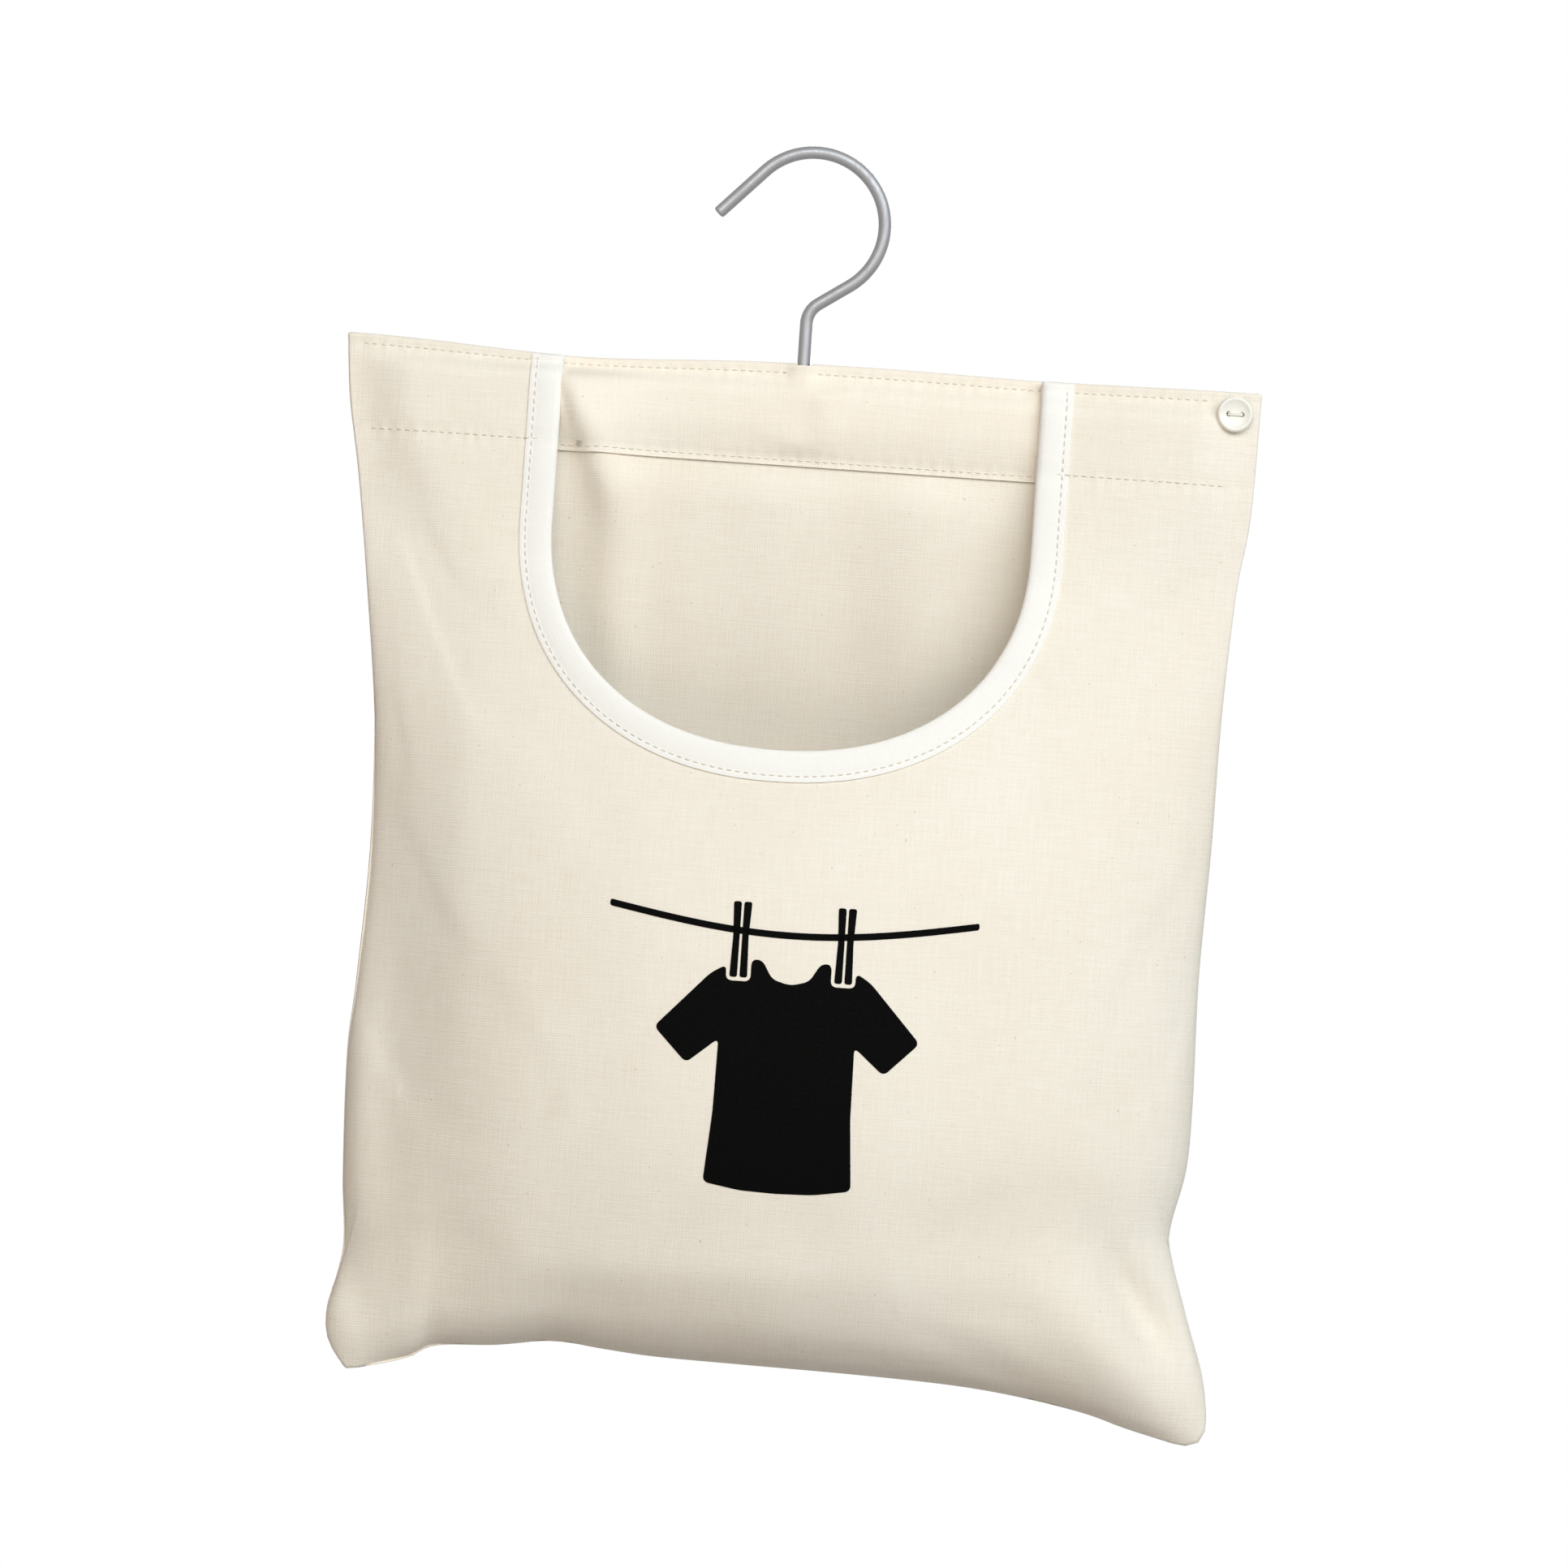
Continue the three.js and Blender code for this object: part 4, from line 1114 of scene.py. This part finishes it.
def make_button():
    """The dished button with two holes, facing the viewer."""
    low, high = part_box("corner_button")
    centre = (low + high) / 2
    radius = (high.x - low.x) / 2
    thick = high.y - low.y
    profile = [(radius * r, thick * (h - 0.5)) for r, h in BUTTON_PROFILE]
    mesh = mesh_of("button", *disc(profile, BUTTON_SIDES))
    piece = add_piece("button", mesh, button_finish, "button", "corner_button")
    holes = []
    for hand in (-1, 1):
        wall = [(BUTTON_HOLE / 2, -thick), (BUTTON_HOLE / 2, thick)]
        vertices, faces = disc(wall, HOLE_SIDES)
        aside = np.array([hand * BUTTON_SPACING / 2, 0, 0])
        holes.append(placed("hole", mesh_of("hole", vertices + aside, faces)))
    cut_with(piece, holes)
    face_viewer = Matrix.Rotation(math.pi / 2, 4, "X")
    piece.data.transform(Matrix.Translation(centre) @ face_viewer)
    return centre, thick


def make_button_thread(centre, thick):
    """The threads between the button's holes and its shank behind."""
    turn = np.linspace(0, math.pi, BUTTON_THREAD_STEPS)
    x = BUTTON_SPACING / 2 * np.cos(turn)
    y = -thick * mix(*BUTTON_ARCH_SHARES, np.sin(turn) ** 0.5)
    path = np.stack([x, y, turn * 0], -1)
    down = np.array([0, thick / 2 + BUTTON_SHANK, 0])
    path = np.concatenate([path[:1] + down, path, path[-1:] + down]) + np.array(centre)
    runs = []
    for level in (-1, 1):
        beside = np.array([0, 0, level * BUTTON_THREAD * BESIDE_SHARE])
        runs.append(swept(path + beside, BUTTON_THREAD / 2, STITCH_SIDES, (0, 0, 1)))
    mesh = mesh_of("button_cotton", *joined(*runs))
    add_piece("button_cotton", mesh, button_thread_finish, "thread", "button_thread")


# The print: a shirt on a slack line, as flat black shapes

def softened(corners, radius):
    """A closed outline with its corners rounded."""
    corners = np.array(corners, float)
    points = []
    for before, corner, after in zip(np.roll(corners, 1, 0), corners, np.roll(corners, -1, 0)):
        ways = [before - corner, after - corner]
        cuts = [corner + way * min(MOST_CUT_SHARE, radius / np.linalg.norm(way)) for way in ways]
        points.append(rounded(cuts[0], corner, cuts[1]))
    return np.concatenate(points)


def print_shapes():
    """The outlines of the shirt, the line and the pegs' legs."""
    mirrored = [(-x, y) for x, y in SHIRT_HALF[::-1]]
    shirt = softened([SHIRT_TOP] + SHIRT_HALF + [SHIRT_BOTTOM] + mirrored, SHIRT_ROUND)
    x = np.linspace(-LINE_HALF, LINE_HALF, LINE_STEPS)
    y = LINE_SAG * np.cos(math.pi * x / (2 * LINE_HALF)) + LINE_END
    edges = [np.stack([x, y + side * LINE_THICK / 2], 1) for side in (-1, 1)]
    line = softened(np.concatenate([edges[0], edges[1][::-1]]), PRINT_ROUND)
    pegs = []
    for peg_x in (-PEG_PLACE, PEG_PLACE):
        for hand in (-1, 1):
            pegs.append(softened([(peg_x + hand * reach, y) for reach, y in PEG_LEG], PRINT_ROUND))
    return [shirt, line] + pegs


def make_print(cloth):
    """The ink, as a thin skin on the front panel."""
    made = bmesh.new()
    for shape in print_shapes():
        made.faces.new([made.verts.new((x * MM, y * MM, 0)) for x, y in shape])
    for way in (Vector((1, 0, 0)), Vector((0, 1, 0))):
        for at in np.arange(-PRINT_HALF, PRINT_HALF, PRINT_CELL):
            everything = made.verts[:] + made.edges[:] + made.faces[:]
            bmesh.ops.bisect_plane(made, geom=everything, plane_co=way * at, plane_no=way)
    bmesh.ops.triangulate(made, faces=made.faces[:])
    places = np.array([vertex.co[:2] for vertex in made.verts]) + PRINT_MIDDLE
    points, normals = cloth.at(places)
    for vertex, point, normal in zip(made.verts, points, normals):
        vertex.co = point + normal * (half_cloth + INK_STAND)
    mesh = bpy.data.meshes.new("ink")
    made.to_mesh(mesh)
    made.free()
    write_places(mesh, places)
    mesh.shade_smooth()
    return add_piece("ink", mesh, ink_finish, "print_ink")


# Finishes

def feed(tree, made, inputs):
    """Sets a node's inputs. Another node's output is linked, and anything else is a plain value."""
    for key, value in inputs.items():
        if isinstance(value, bpy.types.NodeSocket):
            tree.links.new(value, made.inputs[key])
        else:
            made.inputs[key].default_value = value


def finish_named(name, colour, values):
    """A material whose shader has these plain values, its node tree and its shader."""
    material = bpy.data.materials.new(name)
    material.use_nodes = True
    tree = material.node_tree
    shader = tree.nodes["Principled BSDF"]
    feed(tree, shader, {"Base Color": (*colour, 1), **values})
    return material, tree, shader


def node(tree, kind, inputs=None, **settings):
    """Adds a node with its settings and inputs."""
    made = tree.nodes.new(kind)
    for key, value in settings.items():
        setattr(made, key, value)
    feed(tree, made, inputs or {})
    return made


def math_node(tree, operation, *values, kind="ShaderNodeMath"):
    return node(tree, kind, dict(enumerate(values)), operation=operation).outputs[0]


def times(tree, a, b):
    return math_node(tree, "MULTIPLY", a, b)


def plus(tree, a, b):
    return math_node(tree, "ADD", a, b)


def vector_node(tree, operation, *values):
    return math_node(tree, operation, *values, kind="ShaderNodeVectorMath")


def flat_place(tree):
    return node(tree, "ShaderNodeUVMap", uv_map=FLAT_MAP).outputs["UV"]


def object_place(tree):
    return node(tree, "ShaderNodeTexCoord").outputs["Object"]


def stretched_noise(tree, place, scale, detail=2.0, rough=0.5):
    """Noise on places that are scaled differently along each axis."""
    wide = vector_node(tree, "MULTIPLY", place, scale)
    values = {"Vector": wide, "Scale": 1.0, "Detail": detail, "Roughness": rough}
    return node(tree, "ShaderNodeTexNoise", values).outputs["Fac"]


def remap(tree, value, low, high, to_low, to_high):
    values = {"Value": value, "From Min": low, "From Max": high, "To Min": to_low, "To Max": to_high}
    return node(tree, "ShaderNodeMapRange", values).outputs["Result"]


def spread(tree, noise, low, high):
    """Noise brought to values between two ends."""
    return remap(tree, noise, *NOISE_SPAN, low, high)


def blend_colour(tree, share, a, b, mode="MIX"):
    ends = [end if isinstance(end, bpy.types.NodeSocket) else (*end, 1) for end in (a, b)]
    inputs = {0: share, 6: ends[0], 7: ends[1]}
    return node(tree, "ShaderNodeMix", inputs, data_type="RGBA", blend_type=mode).outputs[2]


def raised(tree, height, strength, relief):
    """The direction a surface faces where a height makes it rough."""
    inputs = {"Height": height, "Strength": strength, "Distance": relief}
    return node(tree, "ShaderNodeBump", inputs).outputs[0]


def weave_height(tree, place, pitch):
    """The crossings of a plain weave, from 0 to 1, with threads that wander a little."""
    wander = node(tree, "ShaderNodeTexNoise", {"Vector": place, "Scale": WANDER_SCALE, "Detail": 1.0})
    centred = vector_node(tree, "SUBTRACT", wander.outputs["Color"], (0.5, 0.5, 0.5))
    moved = vector_node(tree, "MULTIPLY_ADD", centred, (WANDER, WANDER, WANDER), place)
    parts = node(tree, "ShaderNodeSeparateXYZ", {0: moved})
    waves = []
    for part in (0, 1):
        turn = times(tree, parts.outputs[part], math.pi / pitch)
        waves.append(math_node(tree, "SINE", turn))
    return math_node(tree, "ABSOLUTE", times(tree, *waves))


def puckers(tree, place):
    """The cloth's small waves beside its rows of stitches, from -1 to 1."""
    parts = node(tree, "ShaderNodeSeparateXYZ", {0: place})
    drop = math_node(tree, "ABSOLUTE", parts.outputs[1])
    near = 0.0
    for row in (RIDGE_STITCH, (HEM_STITCH + CASING_STITCH) / 2):
        off = math_node(tree, "ABSOLUTE", math_node(tree, "SUBTRACT", drop, row))
        near = math_node(tree, "MAXIMUM", remap(tree, off, 0, PUCKER_REACH, 1, 0), near)
    drift = times(tree, stretched_noise(tree, place, PUCKER_SCALE), PUCKER_DRIFT)
    turn = times(tree, parts.outputs[0], 2 * math.pi / PUCKER_PITCH)
    wave = math_node(tree, "SINE", plus(tree, turn, drift))
    return times(tree, near, wave)


def woven(name, colours, pitch, bump, fleck=0.0):
    """A plain-woven cotton: colours are the light one, the dark one and the flecks'."""
    material, tree, shader = finish_named(name, colours[0], CLOTH_SHADER)
    place = flat_place(tree)
    weave = weave_height(tree, place, pitch)
    yarn = plus(tree, *[stretched_noise(tree, place, scale) for scale in YARN_SCALES])
    cloud = spread(tree, stretched_noise(tree, place, CLOUD_SCALE, 3.0), *CLOUD_TONES)
    tone = plus(tree, cloud, remap(tree, yarn, *YARN_SPAN, *YARN_TONES))
    colour = blend_colour(tree, tone, colours[0], colours[1])
    channels = dict.fromkeys(("Red", "Green", "Blue"), remap(tree, weave, 0, 1, WEAVE_SHADE, 1))
    grey = node(tree, "ShaderNodeCombineColor", channels).outputs[0]
    colour = blend_colour(tree, 1.0, colour, grey, "MULTIPLY")
    height = plus(tree, times(tree, weave, WEAVE_SHARE), yarn)
    if fleck:
        specks = remap(tree, stretched_noise(tree, place, FLECK_SCALE, 1.0), *FLECK_SPAN, 0, fleck)
        colour = blend_colour(tree, specks, colour, colours[2])
        waves = times(tree, puckers(tree, place), PUCKER_SHARE)
        height = plus(tree, height, waves)
    rough = remap(tree, yarn, *YARN_ROUGH_SPAN, *CLOTH_ROUGH)
    normal = raised(tree, height, *bump)
    feed(tree, shader, {"Base Color": colour, "Roughness": rough, "Normal": normal})
    return material


def make_thread_finish(name, colours):
    """Twisted sewing cotton."""
    material, tree, shader = finish_named(name, colours[0], THREAD_SHADER)
    values = {"Vector": object_place(tree), "Scale": TWIST_SCALE, "Distortion": 2.0}
    twist = node(tree, "ShaderNodeTexWave", values, bands_direction="DIAGONAL").outputs["Fac"]
    colour = blend_colour(tree, twist, colours[1], colours[0])
    feed(tree, shader, {"Base Color": colour, "Normal": raised(tree, twist, *THREAD_BUMP)})
    return material


def make_steel(name, streaks):
    """Drawn, plated steel, with fine streaks along one axis."""
    material, tree, shader = finish_named(name, STEEL_COLOURS[0], STEEL_SHADER)
    place = object_place(tree)
    grain = stretched_noise(tree, place, streaks, 4.0)
    patch = stretched_noise(tree, place, PATCH_SCALE)
    colour = blend_colour(tree, patch, STEEL_COLOURS[1], STEEL_COLOURS[0])
    rough = spread(tree, grain, *STEEL_ROUGH)
    normal = raised(tree, grain, *STEEL_BUMP)
    feed(tree, shader, {"Base Color": colour, "Roughness": rough, "Normal": normal})
    return material


def make_wood():
    """Plain pale wood with its grain along the bar."""
    material, tree, shader = finish_named("wood", WOOD_COLOURS[0], WOOD_SHADER)
    place = object_place(tree)
    grain = stretched_noise(tree, place, GRAIN_SCALE, 5.0, GRAIN_ROUGH_SHARE)
    rings = stretched_noise(tree, place, RINGS_SCALE)
    tone = remap(tree, plus(tree, grain, rings), *WOOD_SPAN, 0, 1)
    colour = blend_colour(tree, tone, *WOOD_COLOURS)
    feed(tree, shader, {"Base Color": colour, "Normal": raised(tree, grain, *WOOD_BUMP)})
    return material


def make_button_finish():
    """Off-white moulded plastic with a faint cloudiness."""
    material, tree, shader = finish_named("button", BUTTON_COLOURS[0], BUTTON_SHADER)
    cloud = stretched_noise(tree, object_place(tree), HAZE_SCALE, 3.0)
    colour = blend_colour(tree, cloud, BUTTON_COLOURS[1], BUTTON_COLOURS[0])
    feed(tree, shader, {"Base Color": colour, "Roughness": spread(tree, cloud, *BUTTON_ROUGH)})
    return material


def make_ink_finish():
    """Black print that has sunk into the weave."""
    material, tree, shader = finish_named("ink", INK_COLOURS[0], INK_SHADER)
    place = flat_place(tree)
    grain = stretched_noise(tree, place, INK_SCALE)
    colour = blend_colour(tree, grain, *INK_COLOURS)
    rough = spread(tree, grain, *INK_ROUGH)
    normal = raised(tree, weave_height(tree, place, WEAVE_PITCH), *INK_BUMP)
    feed(tree, shader, {"Base Color": colour, "Roughness": rough, "Normal": normal})
    return material


canvas_finish = woven("canvas", CANVAS_COLOURS, WEAVE_PITCH, CANVAS_BUMP, FLECK_SHARE)
# The back panel gets a lighter, more tan copy of the canvas: painted light and painted warm shade for the
# inside
back_painted_light_finish = woven("canvas_back_painted_light", BACK_PAINTED_LIGHT_COLOURS, WEAVE_PITCH, CANVAS_BUMP, FLECK_SHARE)
tape_finish = woven("tape", TAPE_COLOURS, TAPE_PITCH, TAPE_BUMP)
thread_finish = make_thread_finish("thread", THREAD_COLOURS)
button_thread_finish = make_thread_finish("button_thread", BUTTON_THREAD_COLOURS)
steel_finish = make_steel("steel", WIRE_STREAKS)
washer_finish = make_steel("washer_steel", WASHER_STREAKS)
wood_finish = make_wood()
button_finish = make_button_finish()
ink_finish = make_ink_finish()


# The pieces

front_places, front_outer, front_sheet = make_front()
front_cloth = Cloth(front_places, front_outer, -1)
front = add_sheet("front_cloth", front_sheet, CLOTH, canvas_finish, "canvas", "front_panel")

back_places, back_ply, facing_places, facing_ply, back_sheet, back_keep = make_back()
back_cloth = Cloth(back_places, back_ply, -1)
facing_cloth = Cloth(facing_places, facing_ply, 1)
back = add_sheet("back_cloth", back_sheet, CLOTH, back_painted_light_finish, "canvas", "back_panel", keep=back_keep)
seam = add_sheet("seam_allowance", seam_allowance(), 2 * CLOTH, canvas_finish, "canvas")

tape_sheet = mouth_binding(front_places, front_outer)
tape = add_sheet("mouth_tape", tape_sheet, TAPE, tape_finish, "binding_tape", "mouth_binding")
tape_line = inset_line(front_places, BINDING_WIDTH - TAPE_STITCH_INSET)
tape_row = stitches(front_cloth, *spaced(tape_line), TAPE_LIFT)
tape_stitches = add_thread("tape_stitches", "binding_thread", tape_row)

for hand, side in ((-1, "left"), (1, "right")):
    mouth = hand * (MOUTH_HALF + STITCH / 2)
    row = level_run(front_cloth, mouth, hand * RIDGE_THREAD_ENDS[side], RIDGE_STITCH)
    add_thread("ridge_stitches_" + side, "ridge_thread_" + side, row)
    rows = []
    for cloth in (facing_cloth, back_cloth):
        rows.append(level_run(cloth, hand * (WIRE / 2 + STITCH), hand * HEM_THREAD_END, RIDGE_STITCH))
    add_thread("ridge_stitches_back_" + side, "ridge_thread_back_" + side, *rows)
    beside_tape = mouth + hand * BINDING_WIDTH
    hem_row = level_run(front_cloth, beside_tape, hand * HEM_THREAD_END, HEM_STITCH)
    tack_row = level_run(front_cloth, mouth + hand * TACK_INSET, beside_tape, HEM_STITCH, TAPE_LIFT)
    add_thread("hem_stitches_" + side, "hem_thread_" + side, hem_row, tack_row)

casing_rows = []
for cloth in (facing_cloth, back_cloth):
    casing_rows.append(level_run(cloth, -HEM_THREAD_END, HEM_THREAD_END, CASING_STITCH))
level_ways = np.array([[1, 0]] * len(KNOT_PLACES))
knot = stitches(facing_cloth, KNOT_PLACES, level_ways, THREAD * KNOT_RISE_SHARE)
add_thread("casing_stitches", "casing_thread", *casing_rows, knot)

add_piece("hook", make_hook(), steel_finish, "hook_steel", "hook_wire", body="hook")
make_button_thread(*make_button())
ink = make_print(front_cloth)

for node_name, finish in (("hanger_bar", wood_finish), ("hook_washer", washer_finish)):
    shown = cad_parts[node_name]
    shown.data.materials.clear()
    shown.data.materials.append(finish)


# Floor, light and camera

def rays(tree, *kinds):
    """1 for rays of these kinds, and 0 for all others."""
    path = node(tree, "ShaderNodeLightPath")
    seen = 0.0
    for kind in kinds:
        seen = math_node(tree, "MAXIMUM", path.outputs["Is " + kind + " Ray"], seen)
    return seen


def make_floor():
    """A pale floor well below the bag. The camera sees it as plain white with the bag's soft shadow."""
    made = bmesh.new()
    bmesh.ops.create_grid(made, x_segments=FLOOR_CELLS, y_segments=FLOOR_CELLS, size=FLOOR_HALF)
    mesh = bpy.data.meshes.new("floor")
    made.to_mesh(mesh)
    made.free()
    floor = placed("floor", mesh)
    floor.location.z = FLOOR_Z
    material, tree, shader = finish_named("floor", FLOOR_COLOUR, FLOOR_SHADER)
    place = object_place(tree)
    rough = spread(tree, stretched_noise(tree, place, FLOOR_SCALE, 3.0), *FLOOR_ROUGH)
    distance = node(tree, "ShaderNodeVectorMath", {0: place}, operation="LENGTH").outputs["Value"]
    glow = remap(tree, distance, *FLOOR_FADE, FLOOR_GLOW, 1)
    strength = times(tree, rays(tree, "Camera", "Glossy"), glow)
    feed(tree, shader, {"Roughness": rough, "Emission Strength": strength})
    mesh.materials.append(material)


def add_lamp(name, place, size, power, colour):
    lamp = bpy.data.lights.new(name, "AREA")
    lamp.shape = "RECTANGLE"
    lamp.size, lamp.size_y = size
    lamp.energy = power
    lamp.color = colour
    made = placed(name, lamp)
    made.location = place
    made.rotation_euler = (Vector(LAMP_AIM) - Vector(place)).to_track_quat("-Z", "Y").to_euler()


def make_world():
    """A white world for what the camera and the steel see, and a dim one for the rest."""
    world = bpy.data.worlds.new("world")
    scene.world = world
    world.use_nodes = True
    tree = world.node_tree
    seen = rays(tree, "Camera", "Glossy", "Transmission")
    strength = remap(tree, seen, 0, 1, AMBIENT, 1)
    colour = blend_colour(tree, seen, AMBIENT_COLOUR, (1, 1, 1))
    feed(tree, tree.nodes["Background"], {"Strength": strength, "Color": colour})


def make_camera():
    """The photograph's view: from the front, with the bag hanging a little aslant."""
    lens = bpy.data.cameras.new("camera")
    lens.sensor_fit = "HORIZONTAL"
    lens.angle = 2 * math.atan(VIEW_HALF / VIEW_DISTANCE)
    camera = placed("camera", lens)
    middle = Vector((VIEW_X, -VIEW_DISTANCE, top_z - VIEW_DROP))
    turn = Matrix.Rotation(math.pi / 2, 4, "X") @ Matrix.Rotation(VIEW_ROLL, 4, "Z")
    camera.matrix_world = Matrix.Translation(middle) @ turn
    scene.camera = camera


make_floor()
for lamp in LAMPS:
    add_lamp(*lamp)
make_world()
make_camera()
scene.view_settings.view_transform = "Standard"
